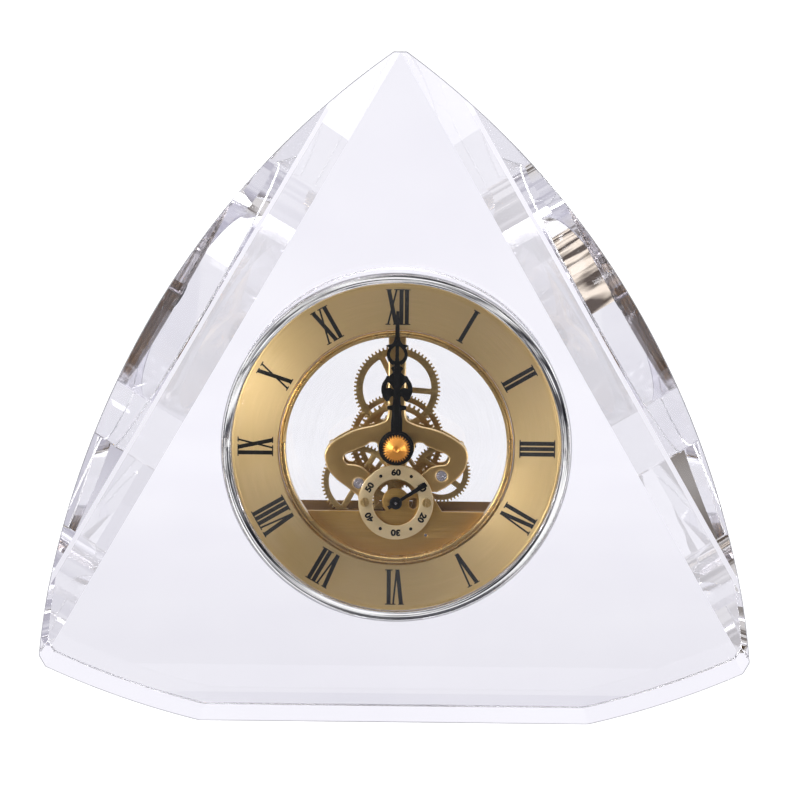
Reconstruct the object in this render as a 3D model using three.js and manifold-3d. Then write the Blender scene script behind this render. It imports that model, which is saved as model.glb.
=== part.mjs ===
// Crystal desk clock: a bevelled block of clear glass with a skeleton quartz movement in its round bore.
// Millimetres. +Z is up, +X is to the right seen from the front, and +Y runs from front to back.
// The origin is the middle of the block's flat base. Flat shapes are drawn about the dial's centre.
import * as THREE from "three";
import { mergeVertices } from "three/addons/utils/BufferGeometryUtils.js";
import Module from "manifold-3d";

const wasm = await Module();
wasm.setup();

const TURN = 2 * Math.PI;
const DEGREE = Math.PI / 180;

// Running clearances.
const SLIP = 0.05; // between two faces that rest on each other
const FIT = 0.1; // around a shaft or a plug, on the radius
const PAST = 1; // how far a cutter runs past the faces it cuts

// Sides of the round parts.
const PIN_STEPS = 10;
const SHAFT_STEPS = 16;
const BOSS_STEPS = 20;
const CELL_STEPS = 28;

// The glass block: a triangle with three curved sides, standing on a flat cut from the lowest one.
const BLOCK_SIDE = 203; // straight line between two corners
const BLOCK_CURVE = 240; // radius of each curved side
const BLOCK_DEPTH = 40;
const CORNER_HEIGHT = 16; // of the two lower corners above the base
const CORNER_CUT = 1.3; // taken off each corner
const BEVEL_ANGLE = 40 * DEGREE; // of each bevel from the front or rear face
const FRONT_BEVEL_OFFSET = 8.2; // the front bevel's edge outside the line between two corners
const REAR_BEVEL_OFFSET = -0.7; // the rear bevel's edge, just inside that line
const CURVE_STEPS = 20;
const BLOCK_FRONT = -BLOCK_DEPTH / 2;
const BLOCK_REAR = BLOCK_DEPTH / 2;

// The bore and the round parts in it.
const DIAL_HEIGHT = 78.8; // of the dial's centre above the base
const BORE_RADIUS = 49.4;
const ROUND_STEPS = 48;
const SLEEVE_FIT = 0.3; // around the sleeve
const SLEEVE_RADIUS = BORE_RADIUS - SLEEVE_FIT;
const SLEEVE_LIP = 2.2; // its wall at the front, around the lens and the dial ring
const SLEEVE_STEP = 2.3; // more wall behind the dial ring
const SLEEVE_SEAT_RADIUS = SLEEVE_RADIUS - SLEEVE_LIP;
const SLEEVE_INNER_RADIUS = SLEEVE_SEAT_RADIUS - SLEEVE_STEP;
const SLEEVE_FRONT = -21.3;
const REAR_COVER_THICK = 1.2;
const REAR_COVER_FRONT = 9.2;
const SLEEVE_REAR = REAR_COVER_FRONT + REAR_COVER_THICK;
const COVER_RADIUS = SLEEVE_INNER_RADIUS - FIT;

// The dial ring, its inner rim and the lens.
const RING_THICK = 1;
const RING_FRONT = -18.4;
const RING_REAR = RING_FRONT + RING_THICK;
const RING_FIT = 0.2; // around the ring
const RING_OUTER = SLEEVE_SEAT_RADIUS - RING_FIT;
const RIM_OUTER = 33.2;
const RIM_INNER = 31.3;
const RIM_BEAD = 0.5; // rounding of the rim's front edges
const RIM_PROUD = 0.7; // in front of the dial ring
const RIM_FRONT = RING_FRONT - RIM_PROUD;
const RING_INNER = RIM_OUTER + FIT;
const LENS_THICK = 1.2;
const LENS_EDGE_FRONT = -20.8;
const LENS_RISE = 6; // of the dome's middle in front of its edge
const LENS_SKIRT = 1.6; // border around the dome, which rests on the dial ring
const LENS_STEPS = 3;
const LENS_RADIUS = SLEEVE_SEAT_RADIUS - FIT;

// Layers of the movement, from front to back.
const PLATE_THICK = 1.2;
const FRONT_PLATE_FRONT = -14;
const FRONT_PLATE_REAR = FRONT_PLATE_FRONT + PLATE_THICK;
const RIM_REAR = FRONT_PLATE_FRONT - SLIP;
const REAR_PLATE_FRONT = 1;
const REAR_PLATE_REAR = REAR_PLATE_FRONT + PLATE_THICK;
const WHEEL_THICK = 0.9;
const THIRD_LAYER = -9.4; // front face of each wheel
const SECOND_LAYER = -7.4;
const HOUR_LAYER = -5.6;
const STEP_LAYER = -5.6;
const MINUTE_LAYER = -3.5;
const CENTRE_LAYER = -1.4;
const STEP_WHEEL_THICK = 0.8;
const PINION_OVERHANG = 0.3; // of a pinion past each face of the wheel it meshes with
const BRIDGE_FRONT = -2.6; // the motor bridge, which carries the rear pivots of the step shaft and the rotor
const BRIDGE_REAR = -2.1;
const SHOULDER_FRONT = FRONT_PLATE_REAR + FIT; // the ends of the shafts, without their pivots
const SHOULDER_REAR = REAR_PLATE_FRONT - FIT;
const PIVOT_DEPTH = 0.8; // of a pivot's end past the plate's inner face
const BRIDGE_PIVOT_DEPTH = 0.4;
const PIVOT_FRONT = FRONT_PLATE_REAR - PIVOT_DEPTH;
const PIVOT_REAR = REAR_PLATE_FRONT + PIVOT_DEPTH;
const BRIDGE_PIVOT = BRIDGE_FRONT + BRIDGE_PIVOT_DEPTH;

// Shafts, relative to the dial's centre.
const MOTION_REACH = 15.2; // from the centre to the motion shaft above it and to the third shaft
const SECOND_DROP = 16; // of the seconds shaft below the centre
const CENTRE = [0, 0];
const MOTION = [0, MOTION_REACH];
const SECOND = [0, -SECOND_DROP];
const DISPLAY = [12.9, -8.5];
const PIVOT_RADIUS = 0.4;
const PIVOT_HOLE = PIVOT_RADIUS + FIT;
const ARBOR_RADIUS = 0.7;
const ROTOR_ARBOR_RADIUS = 0.6;

// Tooth counts. Each pair is the larger wheel and the pinion it meshes with.
const MINUTE_TEETH = 64;
const CANNON_TEETH = 16;
const HOUR_TEETH = 48;
const MINUTE_PINION_TEETH = 16;
const CENTRE_TEETH = 80;
const THIRD_PINION_TEETH = 10;
const THIRD_TEETH = 60;
const SECOND_PINION_TEETH = 8;
const SECOND_TEETH = 40;
const DISPLAY_TEETH = 48;
const STEP_PINION_TEETH = 8;
const STEP_TEETH = 36;
const ROTOR_TEETH = 6;

// Tooth form, as shares of the module and of the tooth pitch.
const ADDENDUM = 0.8;
const DEDENDUM = 1.15;
const ROOT_SHARE = 0.26; // half the tooth's width at its root
const TIP_SHARE = 0.11; // half its width at its tip

// The module that makes two tooth counts mesh at a given distance.
const moduleFor = (distance, teethA, teethB) => (2 * distance) / (teethA + teethB);
const distanceBetween = (a, b) => Math.hypot(b[0] - a[0], b[1] - a[1]);

const MINUTE_MODULE = moduleFor(MOTION_REACH, MINUTE_TEETH, CANNON_TEETH);
const HOUR_MODULE = moduleFor(MOTION_REACH, HOUR_TEETH, MINUTE_PINION_TEETH);
const CENTRE_MODULE = moduleFor(MOTION_REACH, CENTRE_TEETH, THIRD_PINION_TEETH);
const THIRD_DISTANCE = 11.85; // from the third shaft to the seconds shaft
const THIRD_MODULE = moduleFor(THIRD_DISTANCE, THIRD_TEETH, SECOND_PINION_TEETH);
const SECOND_MODULE = moduleFor(distanceBetween(SECOND, DISPLAY), SECOND_TEETH, DISPLAY_TEETH);
const STEP_REACH = (SECOND_MODULE * (SECOND_TEETH + STEP_PINION_TEETH)) / 2;
const ROTOR_MODULE = 0.29;
const ROTOR_REACH = (ROTOR_MODULE * (STEP_TEETH + ROTOR_TEETH)) / 2;

// The third shaft lies to the left, MOTION_REACH from the centre and THIRD_DISTANCE from the seconds shaft.
const THIRD_Z = (THIRD_DISTANCE ** 2 - MOTION_REACH ** 2 - SECOND_DROP ** 2) / (2 * SECOND_DROP);
const THIRD = [-Math.sqrt(MOTION_REACH ** 2 - THIRD_Z ** 2), THIRD_Z];
const STEP_DIRECTION = -70 * DEGREE; // from the seconds shaft to the step shaft
const STEP = [
  SECOND[0] + STEP_REACH * Math.cos(STEP_DIRECTION),
  SECOND[1] + STEP_REACH * Math.sin(STEP_DIRECTION),
];
const ROTOR_DIRECTION = -18 * DEGREE; // from the step shaft to the rotor
const ROTOR = [
  STEP[0] + ROTOR_REACH * Math.cos(ROTOR_DIRECTION),
  STEP[1] + ROTOR_REACH * Math.sin(ROTOR_DIRECTION),
];

// Wheel bodies: how many spokes, the first one's direction, and the widths of the rim and of a spoke.
const MINUTE_BODY = { spokes: 3, first: -4 * DEGREE, rim: 1.9, width: 1.6 };
const HOUR_BODY = { spokes: 5, first: 90 * DEGREE, rim: 1.5, width: 1 };
const CENTRE_BODY = { spokes: 5, first: 90 * DEGREE, rim: 1.5, width: 1 };
const THIRD_BODY = { spokes: 4, first: 60 * DEGREE, rim: 1.5, width: 1.6 };
const SECOND_BODY = { spokes: 4, first: 0, rim: 1.5, width: 1 };
const DISPLAY_BODY = { spokes: 4, first: -36 * DEGREE, rim: 1.5, width: 1.6 };
const STEP_BODY = { spokes: 3, first: 90 * DEGREE, rim: 1, width: 1 };
const HUB_WIDTH = 1.4; // of a wheel's hub around its bore
const WINDOW_STEPS = 4;
const WINDOW_INNER_STEPS = 2;

// The centre stack: hour pipe, cannon pinion inside it, hands and nut in front, knob behind.
const CANNON_RADIUS = 1.3;
const CANNON_REAR = 0.6;
const HOUR_PIPE_FIT = 0.15; // around the cannon pinion's pipe
const HOUR_PIPE_INNER = CANNON_RADIUS + HOUR_PIPE_FIT;
const HOUR_PIPE_OUTER = 2.1;
const CENTRE_BUSH_INNER = HOUR_PIPE_OUTER + FIT;
const CENTRE_BUSH_OUTER = 3.3;
const CENTRE_BUSH_PROUD = 0.5; // in front of the front plate
const HAND_THICK = 0.5;
const HOUR_HAND_FRONT = -19.4;
const MINUTE_HAND_FRONT = -20.5;
const HOUR_PIPE_PROUD = 0.2; // in front of the hour hand
const HOUR_PIPE_FRONT = HOUR_HAND_FRONT - HOUR_PIPE_PROUD;
const NUT_REAR = MINUTE_HAND_FRONT - SLIP;
const NUT_KNURL_LENGTH = 1.4;
const NUT_LENGTH = 2.7;
const NUT_RADIUS = 3.9;
const NUT_KNURLS = 36;
const NUT_KNURL_DEPTH = 0.22;
const NUT_BORE_DEPTH = 1.3;
const NUT_CORE_FIT = 0.1; // of the cone's foot inside the knurls
const NUT_NOSE_RADIUS = 1;
const NUT_DIMPLE_RADIUS = 0.5;
const NUT_DIMPLE_DEPTH = 0.25;
const CANNON_FRONT = NUT_REAR - NUT_BORE_DEPTH + FIT;
const STEM_RADIUS = 1;
const KNOB_RADIUS = 6.5;
const STEM_HOLE_FIT = 0.4; // around the stem in the rear cover
const STEM_HOLE_RADIUS = STEM_RADIUS + STEM_HOLE_FIT;
const STEM_IN_KNOB = 1;
const KNOB_STANDOFF = 0.5; // behind the rear cover
const KNOB_FRONT = SLEEVE_REAR + KNOB_STANDOFF;
const KNOB_LENGTH = 5;
const KNOB_FLUTES = 24;
const KNOB_FLUTE_DEPTH = 0.4;

// Hands, as half outlines from the shaft upwards: [half width, height].
const HOUR_HUB_RADIUS = 5;
const MINUTE_HUB_RADIUS = 4.5;
const HOUR_HAND_SIDE = [
  [1.6, 4.7],
  [1.6, 7.4],
  [1.35, 10],
  [1.5, 10.7],
  [2.4, 10.8],
  [2.75, 11.4],
  [2.4, 12],
  [1.4, 12.1],
  [1.1, 12.7],
  [1.1, 14.6],
  [1.8, 14.3],
  [2.2, 13.4],
  [2.9, 13.2],
  [3.7, 14.1],
  [4.3, 15.5],
  [4.42, 16.8],
  [4.1, 18.3],
  [3.3, 19.6],
  [2.85, 20.4],
  [2.3, 20.5],
  [1.2, 21.3],
  [1.3, 21.9],
  [1.7, 22.5],
  [1.3, 23.1],
  [0.8, 23.4],
  [0.5, 25.6],
];
const HOUR_HAND_HOLE = [
  [0.75, 16.5],
  [2, 17.1],
  [3.1, 16.8],
  [3, 17.7],
  [2.5, 18.7],
  [1.7, 17.9],
];
const MINUTE_HAND_SIDE = [
  [0.85, 4.2],
  [0.8, 22.3],
  [1.1, 23.4],
  [2.1, 24.3],
  [2.75, 25.4],
  [2.95, 26.6],
  [2.7, 27.8],
  [2.4, 28.5],
  [3.2, 29],
  [2.5, 29.35],
  [1.6, 29.5],
  [0.95, 30.4],
  [0.65, 32],
  [0.6, 34],
  [0.45, 37],
  [0.4, 38.8],
];
const MINUTE_HAND_HOLE = [
  [0.5, 24.6],
  [1.4, 25.1],
  [2, 26],
  [2.05, 26.9],
  [1.6, 28],
  [0.5, 29],
];
const HAND_HUB_STEPS = 20;
const SECOND_HAND_LENGTH = 10.2;
const SECOND_HAND_TAIL = 2.6;
const SECOND_HAND_WAIST = 7.65; // where the blade starts to widen
const SECOND_HAND_HALF_WIDTHS = [0.55, 0.6, 0.75]; // at the tail, the waist and the tip
const SECOND_HAND_HUB_PROUD = 0.2; // on each face
const SECOND_PIVOT_PROUD = 0.3; // of the shaft in front of the hand
const SECOND_HAND_HUB = 1.8;
const SECOND_HAND_ANGLE = 33 * DEGREE; // above the horizontal, to the right
const SECOND_HAND_FRONT = -17.4;
const SECOND_HAND_THICK = 0.4;

// The seconds dial and its two screws.
const SECOND_DIAL_RADIUS = 10.65;
const SECOND_DIAL_HOLE = 6.65;
const SECOND_DIAL_FRONT = -15.8;
const SECOND_DIAL_THICK = 0.8;
const SECOND_DIAL_REAR = SECOND_DIAL_FRONT + SECOND_DIAL_THICK;
const SECOND_DIAL_STEPS = 40;
const DIAL_SCREW_REACH = 8.8;
const SCREW_HEAD_RADIUS = 1.3;
const SCREW_HEAD_THICK = 0.5;
const SCREW_CHAMFER = 0.15;
const SCREW_RADIUS = 0.6;
const SCREW_SLOT_WIDTH = 0.4;
const SCREW_SLOT_DEPTH = 0.25;
const SPACER_RADIUS = 1.4;
const SPACER_SINK = 0.2; // of a spacer into the seconds dial it is one piece with
const PAD_RADIUS = 1.8; // of the front plate's pad under the left screw

// Plate outlines: the right half from the strut down to the seconds dial, as [x, z].
const STRUT_HALF_WIDTH = 2.5;
const STRUT_DROP = 0.2; // of the strut's end below the rim's outer edge
const STRUT_TOP = RIM_OUTER - STRUT_DROP; // height of the strut's end above the centre
const PLATE_SIDE = [
  [2.5, 9.3],
  [2.7, 8.1],
  [3.6, 6.9],
  [6.7, 5.75],
  [10.4, 4.9],
  [13.6, 3.7],
  [16.9, 1.85],
  [19.3, -0.1],
  [20.35, -2.2],
  [20.2, -4.6],
  [19.2, -7.2],
  [17, -9.7],
  [14.1, -11.9],
];
const PLATE_END_LEFT = [
  [10.9, -14.4],
  [10.2, -17.2],
  [8.8, -17.8],
  [7.2, -17.2],
];
const PLATE_END_RIGHT = [
  [11.7, -13.2],
  [7.4, -13.1],
];
const PLATE_WINDOW = [
  [5.6, 0.6],
  [7.4, 0.8],
  [8.7, -0.1],
  [11.7, -1.4],
  [14.2, -2.4],
  [14.85, -3.7],
  [13.9, -5.2],
  [11.7, -5.5],
  [9.6, -6.2],
  [7.4, -8],
  [7, -8.6],
  [5, -7.3],
  [2.9, -6.4],
  [3.1, -5],
  [3.9, -3.8],
  [5, -1.6],
];
const PLATE_ARCH_RADIUS = 8.2; // clear space around the seconds shaft
const PLATE_CURVE_STEPS = 2;
const REAR_PLATE_DROP = 0.9; // the rear plate's outline is this much lower
const REAR_TONGUE_HALF_WIDTH = 1.7;
const REAR_TONGUE_TOP = -6;
const REAR_TONGUE_END = -17.8;
const BUSH_RADIUS = 1.5;
const BUSH_PROUD = 0.2;

// Pillars between the plates.
const PILLAR_RADIUS = 0.9;
const SIDE_PILLAR = [18.5, -0.9];
const REAR_STRUT_DROP = 1.4; // of the rear strut's end below the front one's
const REAR_STRUT_TOP = STRUT_TOP - REAR_STRUT_DROP;
const TOP_PILLAR_DROP = 2; // below the rear strut's end
const TOP_PILLAR = [0, REAR_STRUT_TOP - TOP_PILLAR_DROP];

// The battery box below the movement.
const BOX_TOP = -18.75;
const BOX_FIT = 0.3; // around the box in the sleeve
const BOX_RADIUS = SLEEVE_INNER_RADIUS - BOX_FIT;
const BOX_WALL = 1;
const BOX_FRONT_REAR = FRONT_PLATE_FRONT + PLATE_THICK;
const BOX_BODY_FRONT = BOX_FRONT_REAR + SLIP;
const BOX_BODY_REAR = REAR_COVER_FRONT - SLIP;
const BOSS_RADIUS = 3.9; // of the seconds shaft's front bearing
const BRACKET = [
  [2.5, -13.6],
  [9.6, -13.6],
  [10.6, -14.6],
  [13.3, -19],
  [2.5, -19],
];
const KEYHOLE = [4.9, -16.4];
const KEYHOLE_RADIUS = 1.1;
const KEYHOLE_STRETCH = 0.6; // half of its straight part
const WHEEL_SLOTS = [
  [-18.6, -2.2, -9.9, -7.9], // over the third wheel: x from, x to, y from, y to
  [-7.6, 8.8, -7.95, -4.2], // over the seconds wheel and the step wheel
];
const CRADLE_X = 12;
const CRADLE_THICK = 1.6;
const CRADLE_DROP = 2.6; // of the cradles' tips below the battery's axis
const SEGMENT_STEPS = 20;

// The battery and its contacts.
const CELL_LENGTH = 44.5;
const CELL_RADIUS = 5.25;
const CELL_NUB_RADIUS = 1.9;
const CELL_NUB_LENGTH = 1;
const CELL_NUB_SINK = 0.5; // of the nub into the battery
const CELL_SHIFT = 0.85; // to the right, away from the spring
const CELL_LEFT = CELL_SHIFT - CELL_LENGTH / 2;
const CELL_RIGHT = CELL_LEFT + CELL_LENGTH;
const CELL_TO_REAR = 0.5; // from the battery to the rear cover
const CELL_TO_COIL = 0.15;
const CELL_Y = BOX_BODY_REAR - CELL_RADIUS - CELL_TO_REAR;
const COIL_RADIUS = 2.1;
const COIL_TO_WALL = 0.2; // from the coil to the contacts' top edge below the box's wall
const COIL_Z = BOX_TOP - BOX_WALL - SLIP - COIL_RADIUS - COIL_TO_WALL;
const CELL_Z = COIL_Z - COIL_RADIUS - CELL_RADIUS - CELL_TO_COIL;
const CONTACT_THICK = 0.4;
const CONTACT_HALF_WIDTH = 3.8;
const CONTACT_REACH = 3.4; // of the contacts below the battery's axis
const CONTACT_BOTTOM = CELL_Z - CONTACT_REACH;
const CONTACT_TOP = BOX_TOP - BOX_WALL - SLIP;
const SPRING_GAP = 2.4;
const SPRING_WIRE = 0.3;
const SPRING_SINK = 0.06; // of the wire into the contact plate
const SPRING_TURNS = 2;
const SPRING_RADIUS = 2.8;
const SPRING_TAPER = 0.45; // share of the radius lost along the spring
const SPRING_STEPS = 16;
const SPRING_SIDES = 5;

// The battery door, a segment in the rear cover that lifts straight back.
const DOOR_INSET = 2.75; // of the door's straight edge below the box's top
const DOOR_MARGIN = 3; // of the rear cover around the door
const DOOR_TOP = BOX_TOP - DOOR_INSET;
const DOOR_RADIUS = COVER_RADIUS - DOOR_MARGIN;
const DOOR_GAP = 0.25;
const DOOR_GRIP = [12, 1.6]; // length and height of the groove for a fingernail
const DOOR_GRIP_DEPTH = 0.6;
const DOOR_GRIP_Z = -27;

// The stepping motor and the circuit.
const MAGNET_RADIUS = 2.3;
const MAGNET_FRONT = -4.4;
const MAGNET_REAR = -2.9;
const STATOR_FRONT = -4.1;
const STATOR_REAR = -3.3;
const MAGNET_GAP = 0.5;
const STATOR_HOLE = MAGNET_RADIUS + MAGNET_GAP;
const COIL_CORE_RADIUS = 1;
const COIL_CORE_PROUD = 0.8; // of the core at each end
const COIL_WINDING_SINK = 0.35; // of the winding below the flanges
const COIL_LENGTH = 8.4;
const COIL_TO_CONTACT = 0.95; // from the core's end to the battery's contact
const COIL_TO = CELL_RIGHT + SLIP - COIL_TO_CONTACT - COIL_CORE_PROUD;
const COIL_FROM = COIL_TO - COIL_LENGTH;
const STATOR_LEFT = 4.9;
const STATOR_PAST_COIL = 1;
const STATOR_RIGHT = COIL_TO + STATOR_PAST_COIL;
const STATOR_BOTTOM = -29;
const STATOR_SLOT_LEFT = 0.6; // of the opening between the poles, to the left of the coil
const STATOR_SLOT_RIGHT = 0.4; // short of the coil's right end
const STATOR_SLOT = [COIL_FROM - STATOR_SLOT_LEFT, COIL_TO - STATOR_SLOT_RIGHT, -26.2]; // x from, x to, lower edge
const COIL_FLANGE = 0.7;
const STATOR_SLOT_FIT = 0.4; // below the coil
const STATOR_SLOT_TOP = COIL_Z - COIL_RADIUS - STATOR_SLOT_FIT;
const BRIDGE_HALF_WIDTH = 2.2;
const BOARD = [-27, -9.5, -30.5]; // x from, x to, lower edge
const BOARD_FRONT = -10.7;
const BOARD_REAR = -9.9;
const CAN_RADIUS = 1.1;
const CAN_LENGTH = 6;
const CAN_X = -24;
const CAN_Z = -27.5;
const CHIP_SIZE = [4.4, 1, 4.4];
const CHIP = [-13, -27];

// Colours of the materials.
const CLEAR = { color: 0xeef0f6, roughness: 0.02, metalness: 0, transparent: true, opacity: 0.3 };
const DIAL_GOLD = { color: 0xb9a06c, roughness: 0.35, metalness: 1 };
const PLATE_GOLD = { color: 0xa98c58, roughness: 0.3, metalness: 1 };
const BRASS = { color: 0xb08d4f, roughness: 0.3, metalness: 1 };
const NUT_GOLD = { color: 0xe0a04a, roughness: 0.3, metalness: 1 };
const STEEL = { color: 0xb9bac2, roughness: 0.25, metalness: 1 };
const BLACK = { color: 0x0a0b0e, roughness: 0.4, metalness: 0 };
const WHITE_PLASTIC = { color: 0xdddcd4, roughness: 0.5, metalness: 0 };
const GREEN_BOARD = { color: 0x1f5a36, roughness: 0.5, metalness: 0 };
const COPPER = { color: 0xb5622e, roughness: 0.35, metalness: 1 };
const MAGNET_GREY = { color: 0x55565a, roughness: 0.4, metalness: 1 };
const CELL_WRAP = { color: 0x2d4f86, roughness: 0.35, metalness: 0 };

// A closed geometry as a solid that can be joined and cut.
function solid(geometry) {
  const bare = new THREE.BufferGeometry().setAttribute(
    "position",
    (geometry.index ? geometry.toNonIndexed() : geometry).getAttribute("position"),
  );
  const merged = mergeVertices(bare, 1e-5);
  const index = merged.index.array;
  const kept = [];
  for (let i = 0; i < index.length; i += 3) {
    const [a, b, c] = [index[i], index[i + 1], index[i + 2]];
    if (a !== b && b !== c && a !== c) kept.push(a, b, c);
  }
  return new wasm.Manifold(
    new wasm.Mesh({
      numProp: 3,
      vertProperties: merged.attributes.position.array,
      triVerts: new Uint32Array(kept),
    }),
  );
}

// A solid back as a geometry.
function geometryOf(made) {
  const mesh = made.getMesh();
  const positions = new Float32Array(mesh.numVert * 3);
  for (let i = 0; i < mesh.numVert; i++) {
    const at = i * mesh.numProp;
    positions.set(mesh.vertProperties.subarray(at, at + 3), i * 3);
  }
  const geometry = new THREE.BufferGeometry();
  geometry.setAttribute("position", new THREE.BufferAttribute(positions, 3));
  geometry.setIndex(new THREE.BufferAttribute(mesh.triVerts, 1));
  const flat = geometry.toNonIndexed();
  flat.computeVertexNormals();
  return flat;
}

const join = (...parts) => parts.reduce((whole, part) => whole.add(part));
const cut = (whole, ...parts) => parts.reduce((left, part) => left.subtract(part), whole);

const clock = new THREE.Group();
clock.name = "crystal_desk_clock";

function add(name, made, colour) {
  const mesh = new THREE.Mesh(geometryOf(made), new THREE.MeshStandardMaterial(colour));
  mesh.name = name;
  clock.add(mesh);
}

// A flat shape as a plate between two depths. Its x and y become X and Z about the dial's centre.
function plate(shape, front, rear) {
  const geometry = new THREE.ExtrudeGeometry(shape, { depth: rear - front, bevelEnabled: false });
  const upright = new THREE.Matrix4().makeBasis(
    new THREE.Vector3(1, 0, 0),
    new THREE.Vector3(0, 0, 1),
    new THREE.Vector3(0, -1, 0),
  );
  geometry.applyMatrix4(upright);
  geometry.translate(0, rear, DIAL_HEIGHT);
  return solid(geometry);
}

// A profile of [radius, depth] points turned about an axis along Y. The profile runs from front to back.
function turned([x, z], profile, steps) {
  const points = profile.map(([radius, depth]) => new THREE.Vector2(radius, depth));
  const geometry = new THREE.LatheGeometry(points, steps);
  geometry.translate(x, 0, z + DIAL_HEIGHT);
  return solid(geometry);
}

// A plain round bar along Y between two depths.
const bar = (at, radius, front, rear, steps) =>
  turned(at, [[0, front], [radius, front], [radius, rear], [0, rear]], steps);

// A tube along Y between two depths.
const tube = (at, inner, outer, front, rear, steps) =>
  turned(at, [[inner, front], [outer, front], [outer, rear], [inner, rear], [inner, front]], steps);

// A box between two corners, in X and Z about the dial's centre.
function box(x0, x1, y0, y1, z0, z1) {
  const geometry = new THREE.BoxGeometry(x1 - x0, y1 - y0, z1 - z0);
  geometry.translate((x0 + x1) / 2, (y0 + y1) / 2, (z0 + z1) / 2 + DIAL_HEIGHT);
  return solid(geometry);
}

// A round bar along X.
function crossBar(x0, x1, y, z, radius, steps) {
  const geometry = new THREE.CylinderGeometry(radius, radius, x1 - x0, steps);
  geometry.rotateZ(Math.PI / 2);
  geometry.translate((x0 + x1) / 2, y, z + DIAL_HEIGHT);
  return solid(geometry);
}

const shapeOf = (points) => new THREE.Shape(points.map(([x, y]) => new THREE.Vector2(x, y)));
const pathOf = (points) => new THREE.Path(points.map(([x, y]) => new THREE.Vector2(x, y)));
const mirrored = (points) => points.map(([x, y]) => [-x, y]).reverse();

function circle([x, y], radius, steps) {
  return Array.from({ length: steps }, (_, i) => {
    const angle = (i * TURN) / steps;
    return [x + radius * Math.cos(angle), y + radius * Math.sin(angle)];
  });
}

// Points on the smooth curve through the given ones.
function smooth(points) {
  const curve = new THREE.SplineCurve(points.map(([x, y]) => new THREE.Vector2(x, y)));
  return curve.getPoints((points.length - 1) * PLATE_CURVE_STEPS).map((p) => [p.x, p.y]);
}

// The outline of a gear at a point, with one tooth's middle at the angle phase.
function gearOutline([x, y], teeth, size, phase) {
  const pitch = TURN / teeth;
  const radius = (size * teeth) / 2;
  const root = radius - DEDENDUM * size;
  const tip = radius + ADDENDUM * size;
  const corners = [
    [root, -ROOT_SHARE],
    [tip, -TIP_SHARE],
    [tip, TIP_SHARE],
    [root, ROOT_SHARE],
  ];
  const points = [];
  for (let tooth = 0; tooth < teeth; tooth++) {
    for (const [r, share] of corners) {
      const angle = phase + (tooth + share) * pitch;
      points.push([x + r * Math.cos(angle), y + r * Math.sin(angle)]);
    }
  }
  return points;
}

// The phase that puts gear B in mesh with gear A, when A stands at its own phase.
function meshPhase(a, teethA, phaseA, b, teethB) {
  const toward = Math.atan2(b[1] - a[1], b[0] - a[0]);
  const offset = ((phaseA - toward) * teethA) / TURN;
  return toward + Math.PI + (TURN / teethB) * (0.5 - offset);
}

// The openings between a wheel's spokes, as closed paths.
function windows([x, y], inner, outer, { spokes, first, width }) {
  const made = [];
  for (let i = 0; i < spokes; i++) {
    const from = first + (i * TURN) / spokes;
    const to = from + TURN / spokes;
    const outline = [];
    for (let k = 0; k <= WINDOW_STEPS; k++) {
      const lean = Math.asin(width / 2 / outer);
      const angle = from + lean + ((to - from - 2 * lean) * k) / WINDOW_STEPS;
      outline.push([x + outer * Math.cos(angle), y + outer * Math.sin(angle)]);
    }
    for (let k = WINDOW_INNER_STEPS; k >= 0; k--) {
      const lean = Math.asin(width / 2 / inner);
      const angle = from + lean + ((to - from - 2 * lean) * k) / WINDOW_INNER_STEPS;
      outline.push([x + inner * Math.cos(angle), y + inner * Math.sin(angle)]);
    }
    made.push(pathOf(outline));
  }
  return made;
}

// A spoked wheel as a shape. Its bore fits around a shaft of the given radius.
function wheel(at, teeth, size, phase, shaft, body) {
  const root = (size * teeth) / 2 - DEDENDUM * size;
  const shape = shapeOf(gearOutline(at, teeth, size, phase));
  shape.holes = windows(at, shaft + HUB_WIDTH, root - body.rim, body);
  shape.holes.push(pathOf(circle(at, shaft + SLIP, SHAFT_STEPS)));
  return shape;
}

// A shaft with a pivot at each end, running between two plates.
function arbor(at, radius, front, rear, frontPivot, rearPivot) {
  return turned(
    at,
    [
      [0, frontPivot],
      [PIVOT_RADIUS, frontPivot],
      [PIVOT_RADIUS, front],
      [radius, front],
      [radius, rear],
      [PIVOT_RADIUS, rear],
      [PIVOT_RADIUS, rearPivot],
      [0, rearPivot],
    ],
    PIN_STEPS,
  );
}

const pinion = (at, teeth, size, phase, layer, thick = WHEEL_THICK) =>
  plate(
    shapeOf(gearOutline(at, teeth, size, phase)),
    layer - PINION_OVERHANG,
    layer + thick + PINION_OVERHANG,
  );

// The block's outline, about the dial's centre.
const TRIANGLE_CENTRE = CORNER_HEIGHT + BLOCK_SIDE / (2 * Math.sqrt(3)) - DIAL_HEIGHT;
const CORNER_REACH = BLOCK_SIDE / Math.sqrt(3);
const CURVE_CENTRE_REACH =
  Math.sqrt(BLOCK_CURVE ** 2 - (BLOCK_SIDE / 2) ** 2) - BLOCK_SIDE / (2 * Math.sqrt(3));
const CURVE_HALF_ANGLE = Math.asin(BLOCK_SIDE / 2 / BLOCK_CURVE);
const SIDE_DIRECTIONS = [30 * DEGREE, 150 * DEGREE, 270 * DEGREE];

function blockOutline() {
  const points = [];
  for (const direction of SIDE_DIRECTIONS) {
    const cx = -CURVE_CENTRE_REACH * Math.cos(direction);
    const cy = TRIANGLE_CENTRE - CURVE_CENTRE_REACH * Math.sin(direction);
    for (let k = 0; k < CURVE_STEPS; k++) {
      const angle = direction - CURVE_HALF_ANGLE + (2 * CURVE_HALF_ANGLE * k) / CURVE_STEPS;
      points.push([cx + BLOCK_CURVE * Math.cos(angle), cy + BLOCK_CURVE * Math.sin(angle)]);
    }
  }
  return points;
}

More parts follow.
